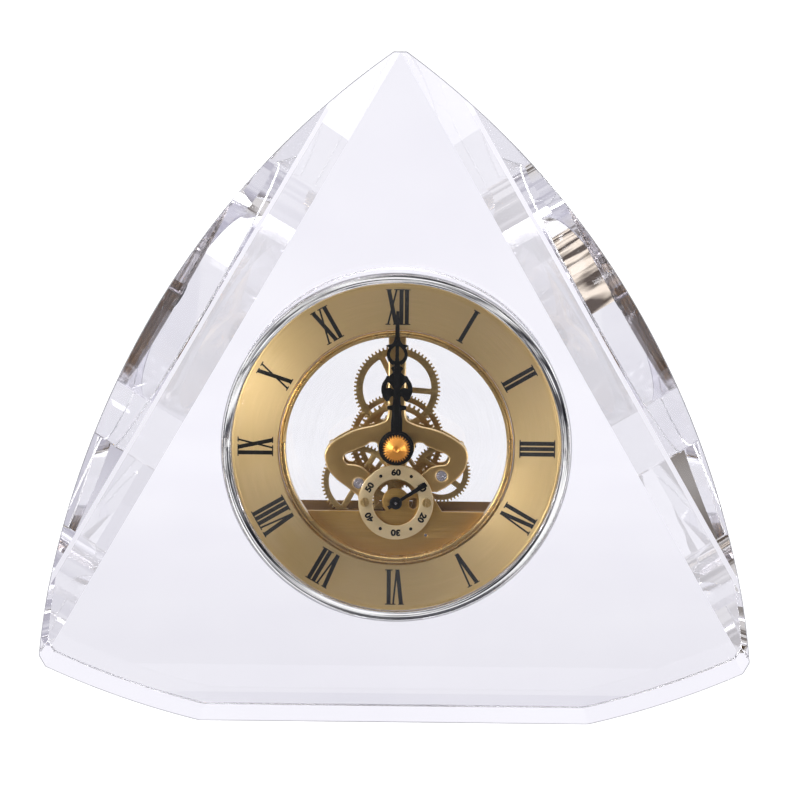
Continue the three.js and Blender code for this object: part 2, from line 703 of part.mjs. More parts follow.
// A large wedge that takes away everything outside a plane. The plane leans by angle from the face.
const WEDGE = BLOCK_SIDE;
function bevelWedge(direction, reach, face, front) {
  const geometry = new THREE.BoxGeometry(WEDGE, WEDGE, 2 * WEDGE);
  geometry.translate(0, front ? -WEDGE / 2 : WEDGE / 2, 0);
  geometry.rotateZ(front ? BEVEL_ANGLE : -BEVEL_ANGLE);
  geometry.translate(reach, face, 0);
  geometry.rotateY(-direction);
  geometry.translate(0, 0, TRIANGLE_CENTRE + DIAL_HEIGHT);
  return solid(geometry);
}

// A flat that blunts one corner.
function cornerWedge(direction) {
  const geometry = new THREE.BoxGeometry(WEDGE, WEDGE, WEDGE);
  geometry.translate(CORNER_REACH - CORNER_CUT + WEDGE / 2, 0, 0);
  geometry.rotateY(-direction);
  geometry.translate(0, 0, TRIANGLE_CENTRE + DIAL_HEIGHT);
  return solid(geometry);
}

const INRADIUS = BLOCK_SIDE / (2 * Math.sqrt(3));
const baseCut = box(-WEDGE, WEDGE, -WEDGE, WEDGE, -DIAL_HEIGHT - WEDGE, -DIAL_HEIGHT);
const bore = bar(CENTRE, BORE_RADIUS, -WEDGE, WEDGE, ROUND_STEPS);
const upperSides = SIDE_DIRECTIONS.slice(0, 2);
const corners = [-30 * DEGREE, 90 * DEGREE, 210 * DEGREE];
add(
  "crystal_block",
  cut(
    plate(shapeOf(blockOutline()), BLOCK_FRONT, BLOCK_REAR),
    baseCut,
    bore,
    ...corners.map(cornerWedge),
    ...upperSides.map((d) => bevelWedge(d, INRADIUS + FRONT_BEVEL_OFFSET, BLOCK_FRONT, true)),
    ...upperSides.map((d) => bevelWedge(d, INRADIUS + REAR_BEVEL_OFFSET, BLOCK_REAR, false)),
  ),
  CLEAR,
);

// The clear sleeve that holds the movement in the bore, with a step for the dial ring.
add(
  "case_sleeve",
  turned(
    CENTRE,
    [
      [SLEEVE_SEAT_RADIUS, SLEEVE_FRONT],
      [SLEEVE_RADIUS, SLEEVE_FRONT],
      [SLEEVE_RADIUS, SLEEVE_REAR],
      [SLEEVE_INNER_RADIUS, SLEEVE_REAR],
      [SLEEVE_INNER_RADIUS, RING_REAR + SLIP],
      [SLEEVE_SEAT_RADIUS, RING_REAR + SLIP],
      [SLEEVE_SEAT_RADIUS, SLEEVE_FRONT],
    ],
    ROUND_STEPS,
  ),
  CLEAR,
);

// The domed lens in front of the hands.
function lensProfile() {
  const edge = LENS_RADIUS - LENS_SKIRT;
  const curve = (edge ** 2 + LENS_RISE ** 2) / (2 * LENS_RISE);
  const dome = (radius) => Math.sqrt(curve ** 2 - radius ** 2) - (curve - LENS_RISE);
  const front = [];
  const rear = [];
  for (let k = 0; k <= LENS_STEPS; k++) {
    const radius = (edge * k) / LENS_STEPS;
    front.push([radius, LENS_EDGE_FRONT - dome(radius)]);
    rear.unshift([radius, LENS_EDGE_FRONT + LENS_THICK - dome(radius)]);
  }
  const skirtRear = RING_FRONT - SLIP;
  front.push([LENS_RADIUS, LENS_EDGE_FRONT], [LENS_RADIUS, skirtRear], [edge, skirtRear]);
  return [...front, ...rear];
}
add("front_lens", turned(CENTRE, lensProfile(), ROUND_STEPS), CLEAR);

add("dial_ring", tube(CENTRE, RING_INNER, RING_OUTER, RING_FRONT, RING_REAR, ROUND_STEPS), DIAL_GOLD);

add(
  "dial_rim",
  turned(
    CENTRE,
    [
      [RIM_INNER, RIM_FRONT + RIM_BEAD],
      [RIM_INNER + RIM_BEAD, RIM_FRONT],
      [RIM_OUTER - RIM_BEAD, RIM_FRONT],
      [RIM_OUTER, RIM_FRONT + RIM_BEAD],
      [RIM_OUTER, RIM_REAR],
      [RIM_INNER, RIM_REAR],
      [RIM_INNER, RIM_FRONT + RIM_BEAD],
    ],
    ROUND_STEPS,
  ),
  PLATE_GOLD,
);

// A segment of a disc below a level line, as an outline.
function segment(top, radius) {
  const from = Math.atan2(top, -Math.sqrt(radius ** 2 - top ** 2));
  const to = Math.atan2(top, Math.sqrt(radius ** 2 - top ** 2));
  return Array.from({ length: SEGMENT_STEPS + 1 }, (_, k) => {
    const angle = from + ((to - from) * k) / SEGMENT_STEPS;
    return [radius * Math.cos(angle), radius * Math.sin(angle)];
  });
}

// The clear rear cover, with a hole for the stem and one for the battery door.
const coverShape = shapeOf(circle(CENTRE, COVER_RADIUS, ROUND_STEPS));
coverShape.holes = [
  pathOf(circle(CENTRE, STEM_HOLE_RADIUS, SHAFT_STEPS)),
  pathOf(segment(DOOR_TOP + DOOR_GAP, DOOR_RADIUS + DOOR_GAP)),
];
add("rear_cover", plate(coverShape, REAR_COVER_FRONT, SLEEVE_REAR), CLEAR);

const doorGrip = box(
  -DOOR_GRIP[0] / 2,
  DOOR_GRIP[0] / 2,
  SLEEVE_REAR - DOOR_GRIP_DEPTH,
  SLEEVE_REAR + PAST,
  DOOR_GRIP_Z - DOOR_GRIP[1] / 2,
  DOOR_GRIP_Z + DOOR_GRIP[1] / 2,
);
add(
  "battery_door",
  cut(plate(shapeOf(segment(DOOR_TOP, DOOR_RADIUS)), REAR_COVER_FRONT, SLEEVE_REAR), doorGrip),
  PLATE_GOLD,
);

// Both plates share this outline: a strut at the top and two lobes. Each has its own two ends near the box.
const side = smooth(PLATE_SIDE);
function plateOutline(top, endLeft, endRight) {
  const right = [[STRUT_HALF_WIDTH, top], ...side, ...endRight];
  const left = [[STRUT_HALF_WIDTH, top], ...side, ...endLeft];
  return [...right, ...mirrored(left)];
}

// A hole through both plates and anything between them.
const through = (at, radius, steps = PIN_STEPS) =>
  bar(at, radius, FRONT_PLATE_FRONT - PAST, REAR_PLATE_REAR + PAST, steps);
const windowRight = smooth([...PLATE_WINDOW, PLATE_WINDOW[0]]).slice(0, -1);
const windowOutlines = [windowRight, mirrored(windowRight)];
const lowered = (points) => points.map(([x, y]) => [x, y - REAR_PLATE_DROP]);
const arch = through(SECOND, PLATE_ARCH_RADIUS, BOSS_STEPS);
const LEFT_SCREW = [-DIAL_SCREW_REACH, SECOND[1]];
const RIGHT_SCREW = [DIAL_SCREW_REACH, SECOND[1]];

// The front plate, with a pad for the seconds dial's left screw.
add(
  "front_plate",
  cut(
    join(
      cut(
        plate(
          shapeOf(plateOutline(STRUT_TOP, PLATE_END_LEFT, PLATE_END_RIGHT)),
          FRONT_PLATE_FRONT,
          FRONT_PLATE_REAR,
        ),
        arch,
        ...windowOutlines.map((w) => plate(shapeOf(w), FRONT_PLATE_FRONT - PAST, FRONT_PLATE_REAR + PAST)),
      ),
      bar(LEFT_SCREW, PAD_RADIUS, FRONT_PLATE_FRONT, FRONT_PLATE_REAR, SHAFT_STEPS),
    ),
    through(LEFT_SCREW, SCREW_RADIUS + FIT),
    through(CENTRE, CENTRE_BUSH_OUTER + SLIP, BOSS_STEPS),
    through(MOTION, PIVOT_HOLE),
    through(THIRD, BUSH_RADIUS + SLIP, SHAFT_STEPS),
    through(DISPLAY, BUSH_RADIUS + SLIP, SHAFT_STEPS),
  ),
  PLATE_GOLD,
);

// The rear plate has the same lobes a little lower, a shorter strut and a tongue for the seconds shaft.
const rearBody = cut(
  plate(
    shapeOf(lowered(plateOutline(REAR_STRUT_TOP, PLATE_END_RIGHT, PLATE_END_RIGHT))),
    REAR_PLATE_FRONT,
    REAR_PLATE_REAR,
  ),
  arch,
  ...windowOutlines.map((w) => plate(shapeOf(lowered(w)), REAR_PLATE_FRONT - PAST, REAR_PLATE_REAR + PAST)),
);
const rearTongue = box(
  -REAR_TONGUE_HALF_WIDTH,
  REAR_TONGUE_HALF_WIDTH,
  REAR_PLATE_FRONT,
  REAR_PLATE_REAR,
  REAR_TONGUE_END,
  REAR_TONGUE_TOP,
);
add(
  "rear_plate",
  cut(
    join(rearBody, rearTongue),
    through(CENTRE, STEM_RADIUS + FIT),
    through(MOTION, PIVOT_HOLE),
    through(THIRD, PIVOT_HOLE),
    through(DISPLAY, PIVOT_HOLE),
    through(SECOND, PIVOT_HOLE),
  ),
  PLATE_GOLD,
);

// Three pillars hold the plates apart.
for (const [name, at] of [
  ["pillar_left", [-SIDE_PILLAR[0], SIDE_PILLAR[1]]],
  ["pillar_right", SIDE_PILLAR],
  ["pillar_top", TOP_PILLAR],
])
  add(name, bar(at, PILLAR_RADIUS, FRONT_PLATE_REAR + SLIP, REAR_PLATE_FRONT - SLIP, SHAFT_STEPS), BRASS);

// Steel bushes for the third shaft and the display shaft, and the brass bush around the hour pipe.
for (const [name, at] of [
  ["bush_left", THIRD],
  ["bush_right", DISPLAY],
])
  add(
    name,
    tube(at, PIVOT_HOLE, BUSH_RADIUS, FRONT_PLATE_FRONT - BUSH_PROUD, FRONT_PLATE_REAR, SHAFT_STEPS),
    STEEL,
  );
add(
  "centre_bush",
  tube(
    CENTRE,
    CENTRE_BUSH_INNER,
    CENTRE_BUSH_OUTER,
    FRONT_PLATE_FRONT - CENTRE_BUSH_PROUD,
    FRONT_PLATE_REAR + CENTRE_BUSH_PROUD,
    BOSS_STEPS,
  ),
  BRASS,
);

// The front of the battery box, level with the front plate: a boss for the seconds shaft and a bracket.
const boxFront = join(
  plate(shapeOf(segment(BOX_TOP, BOX_RADIUS)), FRONT_PLATE_FRONT, BOX_FRONT_REAR),
  bar(SECOND, BOSS_RADIUS, FRONT_PLATE_FRONT, BOX_FRONT_REAR, BOSS_STEPS),
  plate(shapeOf(BRACKET), FRONT_PLATE_FRONT, BOX_FRONT_REAR),
);
const keyhole = join(
  through([KEYHOLE[0], KEYHOLE[1] + KEYHOLE_STRETCH], KEYHOLE_RADIUS, SHAFT_STEPS),
  through([KEYHOLE[0], KEYHOLE[1] - KEYHOLE_STRETCH], KEYHOLE_RADIUS, SHAFT_STEPS),
);
add(
  "box_front",
  cut(
    boxFront,
    keyhole,
    through(SECOND, ARBOR_RADIUS + FIT),
    through(RIGHT_SCREW, SCREW_RADIUS + FIT),
    through(STEP, PIVOT_HOLE),
    through(ROTOR, PIVOT_HOLE),
  ),
  PLATE_GOLD,
);

// The body of the battery box, open at the front and rear, with slots over the wheels that dip into it.
const boxShell = cut(
  plate(shapeOf(segment(BOX_TOP, BOX_RADIUS)), BOX_BODY_FRONT, BOX_BODY_REAR),
  plate(
    shapeOf(segment(BOX_TOP - BOX_WALL, BOX_RADIUS - BOX_WALL)),
    BOX_BODY_FRONT - PAST,
    BOX_BODY_REAR + PAST,
  ),
);
const slots = WHEEL_SLOTS.map(([x0, x1, y0, y1]) =>
  box(x0, x1, y0, y1, BOX_TOP - BOX_WALL - PAST, BOX_TOP + PAST),
);
const cellSeat = crossBar(
  -CRADLE_X - CRADLE_THICK,
  CRADLE_X + CRADLE_THICK,
  CELL_Y,
  CELL_Z,
  CELL_RADIUS + FIT,
  CELL_STEPS,
);
const cradles = [-CRADLE_X, CRADLE_X].map((x) =>
  cut(
    box(
      x - CRADLE_THICK / 2,
      x + CRADLE_THICK / 2,
      CELL_Y - CELL_RADIUS,
      CELL_Y + CELL_RADIUS,
      -Math.sqrt((BOX_RADIUS - BOX_WALL / 2) ** 2 - (CRADLE_X + CRADLE_THICK) ** 2),
      CELL_Z - CRADLE_DROP,
    ),
    cellSeat,
  ),
);
add("box_body", join(cut(boxShell, ...slots), ...cradles), PLATE_GOLD);

// The battery lies across the box, its raised end on the right.
add(
  "battery_cell",
  join(
    crossBar(CELL_LEFT, CELL_RIGHT - CELL_NUB_LENGTH, CELL_Y, CELL_Z, CELL_RADIUS, CELL_STEPS),
    crossBar(
      CELL_RIGHT - CELL_NUB_LENGTH - CELL_NUB_SINK,
      CELL_RIGHT,
      CELL_Y,
      CELL_Z,
      CELL_NUB_RADIUS,
      SHAFT_STEPS,
    ),
  ),
  CELL_WRAP,
);
const contactPlate = (from, to) =>
  box(from, to, CELL_Y - CONTACT_HALF_WIDTH, CELL_Y + CONTACT_HALF_WIDTH, CONTACT_BOTTOM, CONTACT_TOP);
add(
  "contact_positive",
  contactPlate(CELL_RIGHT + SLIP, CELL_RIGHT + SLIP + CONTACT_THICK),
  STEEL,
);

// The negative contact is a plate with a coiled spring that widens towards it.
class Coil extends THREE.Curve {
  getPoint(t, target = new THREE.Vector3()) {
    const angle = t * SPRING_TURNS * TURN;
    const radius = SPRING_RADIUS * (1 - SPRING_TAPER * t);
    const run = SPRING_GAP - 2 * SPRING_WIRE - SLIP;
    return target.set(
      CELL_LEFT - SPRING_GAP + SPRING_WIRE - SPRING_SINK + run * t,
      CELL_Y + radius * Math.cos(angle),
      DIAL_HEIGHT + CELL_Z + radius * Math.sin(angle),
    );
  }
}
const wire = new THREE.ExtrudeGeometry(shapeOf(circle([0, 0], SPRING_WIRE, SPRING_SIDES)), {
  steps: SPRING_STEPS,
  extrudePath: new Coil(),
  bevelEnabled: false,
});
add(
  "contact_negative",
  join(contactPlate(CELL_LEFT - SPRING_GAP - CONTACT_THICK, CELL_LEFT - SPRING_GAP), solid(wire)),
  STEEL,
);

// The circuit board behind the box's front, with the quartz can and the chip.
add(
  "circuit_board",
  box(BOARD[0], BOARD[1], BOARD_FRONT, BOARD_REAR, BOARD[2], CONTACT_TOP),
  GREEN_BOARD,
);
add(
  "quartz_can",
  crossBar(
    CAN_X - CAN_LENGTH / 2,
    CAN_X + CAN_LENGTH / 2,
    BOARD_REAR + CAN_RADIUS + SLIP,
    CAN_Z,
    CAN_RADIUS,
    SHAFT_STEPS,
  ),
  STEEL,
);
add(
  "circuit_chip",
  box(
    CHIP[0] - CHIP_SIZE[0] / 2,
    CHIP[0] + CHIP_SIZE[0] / 2,
    BOARD_REAR + SLIP,
    BOARD_REAR + SLIP + CHIP_SIZE[1],
    CHIP[1] - CHIP_SIZE[2] / 2,
    CHIP[1] + CHIP_SIZE[2] / 2,
  ),
  BLACK,
);

// The stepping motor: stator around the rotor, coil behind the stator, and a bridge with the rear pivots.
add(
  "stator",
  cut(
    box(STATOR_LEFT, STATOR_RIGHT, STATOR_FRONT, STATOR_REAR, STATOR_BOTTOM, CONTACT_TOP),
    bar(ROTOR, STATOR_HOLE, STATOR_FRONT - PAST, STATOR_REAR + PAST, BOSS_STEPS),
    box(
      STATOR_SLOT[0],
      STATOR_SLOT[1],
      STATOR_FRONT - PAST,
      STATOR_REAR + PAST,
      STATOR_SLOT[2],
      STATOR_SLOT_TOP,
    ),
  ),
  STEEL,
);
const coilAxis = STATOR_REAR + SLIP + COIL_RADIUS;
add(
  "coil",
  join(
    crossBar(COIL_FROM, COIL_FROM + COIL_FLANGE, coilAxis, COIL_Z, COIL_RADIUS, SHAFT_STEPS),
    crossBar(COIL_TO - COIL_FLANGE, COIL_TO, coilAxis, COIL_Z, COIL_RADIUS, SHAFT_STEPS),
    crossBar(
      COIL_FROM + COIL_FLANGE / 2,
      COIL_TO - COIL_FLANGE / 2,
      coilAxis,
      COIL_Z,
      COIL_RADIUS - COIL_WINDING_SINK,
      SHAFT_STEPS,
    ),
    crossBar(
      COIL_FROM - COIL_CORE_PROUD,
      COIL_TO + COIL_CORE_PROUD,
      coilAxis,
      COIL_Z,
      COIL_CORE_RADIUS,
      PIN_STEPS,
    ),
  ),
  COPPER,
);
add(
  "motor_bridge",
  cut(
    box(
      STEP[0] - BRIDGE_HALF_WIDTH,
      ROTOR[0] + BRIDGE_HALF_WIDTH,
      BRIDGE_FRONT,
      BRIDGE_REAR,
      ROTOR[1] - BRIDGE_HALF_WIDTH,
      CONTACT_TOP,
    ),
    bar(STEP, PIVOT_HOLE, BRIDGE_FRONT - PAST, BRIDGE_REAR + PAST, PIN_STEPS),
    bar(ROTOR, PIVOT_HOLE, BRIDGE_FRONT - PAST, BRIDGE_REAR + PAST, PIN_STEPS),
  ),
  PLATE_GOLD,
);

// The seconds dial, on two spacers, and its screws.
add(
  "seconds_dial",
  cut(
    join(
      tube(
        SECOND,
        SECOND_DIAL_HOLE,
        SECOND_DIAL_RADIUS,
        SECOND_DIAL_FRONT,
        SECOND_DIAL_REAR,
        SECOND_DIAL_STEPS,
      ),
      ...[LEFT_SCREW, RIGHT_SCREW].map((at) =>
        bar(at, SPACER_RADIUS, SECOND_DIAL_REAR - SPACER_SINK, FRONT_PLATE_FRONT - SLIP, SHAFT_STEPS),
      ),
    ),
    ...[LEFT_SCREW, RIGHT_SCREW].map((at) =>
      bar(at, SCREW_RADIUS + FIT, SECOND_DIAL_FRONT - PAST, FRONT_PLATE_FRONT, PIN_STEPS),
    ),
  ),
  DIAL_GOLD,
);
for (const [name, at] of [
  ["dial_screw_left", LEFT_SCREW],
  ["dial_screw_right", RIGHT_SCREW],
]) {
  const headRear = SECOND_DIAL_FRONT - SLIP;
  const headFront = headRear - SCREW_HEAD_THICK;
  add(
    name,
    cut(
      turned(
        at,
        [
          [0, headFront],
          [SCREW_HEAD_RADIUS - SCREW_CHAMFER, headFront],
          [SCREW_HEAD_RADIUS, headFront + SCREW_CHAMFER],
          [SCREW_HEAD_RADIUS, headRear],
          [SCREW_RADIUS, headRear],
          [SCREW_RADIUS, FRONT_PLATE_REAR],
          [0, FRONT_PLATE_REAR],
        ],
        SHAFT_STEPS,
      ),
      box(
        at[0] - SCREW_SLOT_WIDTH / 2,
        at[0] + SCREW_SLOT_WIDTH / 2,
        headFront - PAST,
        headFront + SCREW_SLOT_DEPTH,
        at[1] - 2 * SCREW_HEAD_RADIUS,
        at[1] + 2 * SCREW_HEAD_RADIUS,
      ),
    ),
    BRASS,
  );
}

// Phases of the gears at rest, each wheel in mesh with the pinion that drives it.
const CANNON_PHASE = 0;
const MINUTE_PHASE = meshPhase(CENTRE, CANNON_TEETH, CANNON_PHASE, MOTION, MINUTE_TEETH);
const MINUTE_PINION_PHASE = 0;
const HOUR_PHASE = meshPhase(MOTION, MINUTE_PINION_TEETH, MINUTE_PINION_PHASE, CENTRE, HOUR_TEETH);
const SECOND_PINION_PHASE = 0;
const THIRD_PHASE = meshPhase(SECOND, SECOND_PINION_TEETH, SECOND_PINION_PHASE, THIRD, THIRD_TEETH);
const THIRD_PINION_PHASE = 0;
const CENTRE_PHASE = meshPhase(THIRD, THIRD_PINION_TEETH, THIRD_PINION_PHASE, CENTRE, CENTRE_TEETH);
const SECOND_PHASE = 0;
const DISPLAY_PHASE = meshPhase(SECOND, SECOND_TEETH, SECOND_PHASE, DISPLAY, DISPLAY_TEETH);
const STEP_PINION_PHASE = meshPhase(SECOND, SECOND_TEETH, SECOND_PHASE, STEP, STEP_PINION_TEETH);
const STEP_PHASE = 0;
const ROTOR_PHASE = meshPhase(STEP, STEP_TEETH, STEP_PHASE, ROTOR, ROTOR_TEETH);

// The cannon pinion is a rod from the hand nut to the rear plate. It drives the minute wheel.
add(
  "cannon_pinion",
  join(
    bar(CENTRE, CANNON_RADIUS, CANNON_FRONT, CANNON_REAR, SHAFT_STEPS),
    pinion(CENTRE, CANNON_TEETH, MINUTE_MODULE, CANNON_PHASE, MINUTE_LAYER),
  ),
  BRASS,
);
add(
  "minute_wheel",
  plate(
    wheel(MOTION, MINUTE_TEETH, MINUTE_MODULE, MINUTE_PHASE, ARBOR_RADIUS, MINUTE_BODY),
    MINUTE_LAYER,
    MINUTE_LAYER + WHEEL_THICK,
  ),
  BRASS,
);
add(
  "minute_pinion",
  join(
    arbor(MOTION, ARBOR_RADIUS, SHOULDER_FRONT, SHOULDER_REAR, PIVOT_FRONT, PIVOT_REAR),
    plate(
      shapeOf(gearOutline(MOTION, MINUTE_PINION_TEETH, HOUR_MODULE, MINUTE_PINION_PHASE)),
      HOUR_LAYER - PINION_OVERHANG,
      MINUTE_LAYER - SLIP,
    ),
  ),
  BRASS,
);
add(
  "hour_wheel",
  join(
    plate(
      wheel(CENTRE, HOUR_TEETH, HOUR_MODULE, HOUR_PHASE, HOUR_PIPE_INNER, HOUR_BODY),
      HOUR_LAYER,
      HOUR_LAYER + WHEEL_THICK,
    ),
    tube(
      CENTRE,
      HOUR_PIPE_INNER,
      HOUR_PIPE_OUTER,
      HOUR_PIPE_FRONT,
      HOUR_LAYER + WHEEL_THICK,
      SHAFT_STEPS,
    ),
  ),
  BRASS,
);
add(
  "centre_wheel",
  plate(
    wheel(CENTRE, CENTRE_TEETH, CENTRE_MODULE, CENTRE_PHASE, CANNON_RADIUS, CENTRE_BODY),
    CENTRE_LAYER,
    CENTRE_LAYER + WHEEL_THICK,
  ),
  BRASS,
);
add(
  "third_wheel",
  plate(
    wheel(THIRD, THIRD_TEETH, THIRD_MODULE, THIRD_PHASE, ARBOR_RADIUS, THIRD_BODY),
    THIRD_LAYER,
    THIRD_LAYER + WHEEL_THICK,
  ),
  BRASS,
);
add(
  "third_pinion",
  join(
    arbor(THIRD, ARBOR_RADIUS, SHOULDER_FRONT, SHOULDER_REAR, PIVOT_FRONT, PIVOT_REAR),
    pinion(THIRD, THIRD_PINION_TEETH, CENTRE_MODULE, THIRD_PINION_PHASE, CENTRE_LAYER),
  ),
  STEEL,
);
add(
  "seconds_wheel",
  plate(
    wheel(SECOND, SECOND_TEETH, SECOND_MODULE, SECOND_PHASE, ARBOR_RADIUS, SECOND_BODY),
    SECOND_LAYER,
    SECOND_LAYER + WHEEL_THICK,
  ),
  BRASS,
);
add(
  "seconds_arbor",
  join(
    turned(
      SECOND,
      [
        [0, SECOND_HAND_FRONT - SECOND_PIVOT_PROUD],
        [PIVOT_RADIUS, SECOND_HAND_FRONT - SECOND_PIVOT_PROUD],
        [PIVOT_RADIUS, SECOND_DIAL_REAR],
        [ARBOR_RADIUS, SECOND_DIAL_REAR],
        [ARBOR_RADIUS, SHOULDER_REAR],
        [PIVOT_RADIUS, SHOULDER_REAR],
        [PIVOT_RADIUS, PIVOT_REAR],
        [0, PIVOT_REAR],
      ],
      PIN_STEPS,
    ),
    pinion(SECOND, SECOND_PINION_TEETH, THIRD_MODULE, SECOND_PINION_PHASE, THIRD_LAYER),
  ),
  STEEL,
);
add(
  "display_wheel",
  plate(
    wheel(DISPLAY, DISPLAY_TEETH, SECOND_MODULE, DISPLAY_PHASE, ARBOR_RADIUS, DISPLAY_BODY),
    SECOND_LAYER,
    SECOND_LAYER + WHEEL_THICK,
  ),
  BRASS,
);
add(
  "display_arbor",
  arbor(DISPLAY, ARBOR_RADIUS, SHOULDER_FRONT, SHOULDER_REAR, PIVOT_FRONT, PIVOT_REAR),
  STEEL,
);
add(
  "step_wheel",
  plate(
    wheel(STEP, STEP_TEETH, ROTOR_MODULE, STEP_PHASE, ARBOR_RADIUS, STEP_BODY),
    STEP_LAYER,
    STEP_LAYER + STEP_WHEEL_THICK,
  ),
  WHITE_PLASTIC,
);
add(
  "step_pinion",
  join(
    arbor(STEP, ARBOR_RADIUS, SHOULDER_FRONT, BRIDGE_FRONT - FIT, PIVOT_FRONT, BRIDGE_PIVOT),
    pinion(STEP, STEP_PINION_TEETH, SECOND_MODULE, STEP_PINION_PHASE, SECOND_LAYER),
  ),
  WHITE_PLASTIC,
);
add(
  "rotor_arbor",
  join(
    arbor(ROTOR, ROTOR_ARBOR_RADIUS, SHOULDER_FRONT, BRIDGE_FRONT - FIT, PIVOT_FRONT, BRIDGE_PIVOT),
    pinion(ROTOR, ROTOR_TEETH, ROTOR_MODULE, ROTOR_PHASE, STEP_LAYER, STEP_WHEEL_THICK),
  ),
  WHITE_PLASTIC,
);
add(
  "rotor_magnet",
  tube(ROTOR, ROTOR_ARBOR_RADIUS + SLIP, MAGNET_RADIUS, MAGNET_FRONT, MAGNET_REAR, SHAFT_STEPS),
  MAGNET_GREY,
);

// A hand's outline: a round hub, then one side up to the tip and the other back down.
function handShape(hubRadius, sidePoints, hole, shaftRadius) {
  const start = Math.atan2(sidePoints[0][1], sidePoints[0][0]);
  const hub = Array.from({ length: HAND_HUB_STEPS }, (_, k) => {
    const angle = Math.PI - start + ((Math.PI + 2 * start) * (k + 0.5)) / HAND_HUB_STEPS;
    return [hubRadius * Math.cos(angle), hubRadius * Math.sin(angle)];
  });
  const shape = shapeOf([...hub, ...sidePoints, ...mirrored(sidePoints)]);
  shape.holes = [pathOf(hole), pathOf(mirrored(hole)), pathOf(circle(CENTRE, shaftRadius, SHAFT_STEPS))];
  return shape;
}
add(
  "hour_hand",
  plate(
    handShape(HOUR_HUB_RADIUS, HOUR_HAND_SIDE, HOUR_HAND_HOLE, HOUR_PIPE_OUTER + SLIP),
    HOUR_HAND_FRONT,
    HOUR_HAND_FRONT + HAND_THICK,
  ),
  BLACK,
);
add(
  "minute_hand",
  plate(
    handShape(MINUTE_HUB_RADIUS, MINUTE_HAND_SIDE, MINUTE_HAND_HOLE, CANNON_RADIUS + SLIP),
    MINUTE_HAND_FRONT,
    MINUTE_HAND_FRONT + HAND_THICK,
  ),
  BLACK,
);

// The nut: knurled at the rear, a cone in front with a dimple.
const knurlOutline = circle(CENTRE, NUT_RADIUS, 2 * NUT_KNURLS).map(([x, y], i) => {
  const scale = i % 2 ? 1 : 1 - NUT_KNURL_DEPTH / NUT_RADIUS;
  return [x * scale, y * scale];
});
const coneFront = NUT_REAR - NUT_LENGTH;
const knurlFront = NUT_REAR - NUT_KNURL_LENGTH;
const coreRadius = NUT_RADIUS - NUT_KNURL_DEPTH - NUT_CORE_FIT;
const coreRear = NUT_REAR - NUT_KNURL_LENGTH / 2;
add(
  "hand_nut",
  cut(
    join(
      plate(shapeOf(knurlOutline), knurlFront, NUT_REAR),
      turned(
        CENTRE,
        [
          [0, coneFront + NUT_DIMPLE_DEPTH],
          [NUT_DIMPLE_RADIUS, coneFront],
          [NUT_NOSE_RADIUS, coneFront],
          [coreRadius, knurlFront],
          [coreRadius, coreRear],
          [0, coreRear],
        ],
        NUT_KNURLS,
      ),
    ),
    bar(CENTRE, CANNON_RADIUS + SLIP, NUT_REAR - NUT_BORE_DEPTH, NUT_REAR + PAST, SHAFT_STEPS),
  ),
  NUT_GOLD,
);

// The seconds hand: a hub, a blade to the right and a short tail.
function along(angle, [u, v]) {
  return [
    SECOND[0] + u * Math.cos(angle) - v * Math.sin(angle),
    SECOND[1] + u * Math.sin(angle) + v * Math.cos(angle),
  ];
}
const [tailHalf, waistHalf, tipHalf] = SECOND_HAND_HALF_WIDTHS;
const blade = [
  [-SECOND_HAND_TAIL, tailHalf],
  [-SECOND_HAND_TAIL, -tailHalf],
  [SECOND_HAND_WAIST, -waistHalf],
  [SECOND_HAND_LENGTH, -tipHalf],
  [SECOND_HAND_LENGTH, tipHalf],
  [SECOND_HAND_WAIST, waistHalf],
].map((point) => along(SECOND_HAND_ANGLE, point));
const secondHandRear = SECOND_HAND_FRONT + SECOND_HAND_THICK;
add(
  "seconds_hand",
  cut(
    join(
      plate(shapeOf(blade), SECOND_HAND_FRONT, secondHandRear),
      bar(
        SECOND,
        SECOND_HAND_HUB,
        SECOND_HAND_FRONT - SECOND_HAND_HUB_PROUD,
        secondHandRear + SECOND_HAND_HUB_PROUD,
        SHAFT_STEPS,
      ),
    ),
    bar(SECOND, PIVOT_RADIUS + SLIP, SECOND_HAND_FRONT - PAST, secondHandRear + PAST, PIN_STEPS),
  ),
  BLACK,
);

// The setting stem and its knob behind the clear cover.
add(
  "setting_stem",
  bar(CENTRE, STEM_RADIUS, CANNON_REAR + SLIP, KNOB_FRONT + STEM_IN_KNOB, SHAFT_STEPS),
  BRASS,
);
const fluteOutline = circle(CENTRE, KNOB_RADIUS, 2 * KNOB_FLUTES).map(([x, y], i) => {
  const scale = i % 2 ? 1 : 1 - KNOB_FLUTE_DEPTH / KNOB_RADIUS;
  return [x * scale, y * scale];
});
add(
  "setting_knob",
  cut(
    plate(shapeOf(fluteOutline), KNOB_FRONT, KNOB_FRONT + KNOB_LENGTH),
    bar(CENTRE, STEM_RADIUS + SLIP, KNOB_FRONT - PAST, KNOB_FRONT + STEM_IN_KNOB + SLIP, SHAFT_STEPS),
  ),
  BLACK,
);

export default clock;
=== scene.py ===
"""A crystal desk clock with a skeleton movement: its looks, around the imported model."""

import math

import bmesh
import bpy
import numpy as np
from mathutils import Matrix, Vector


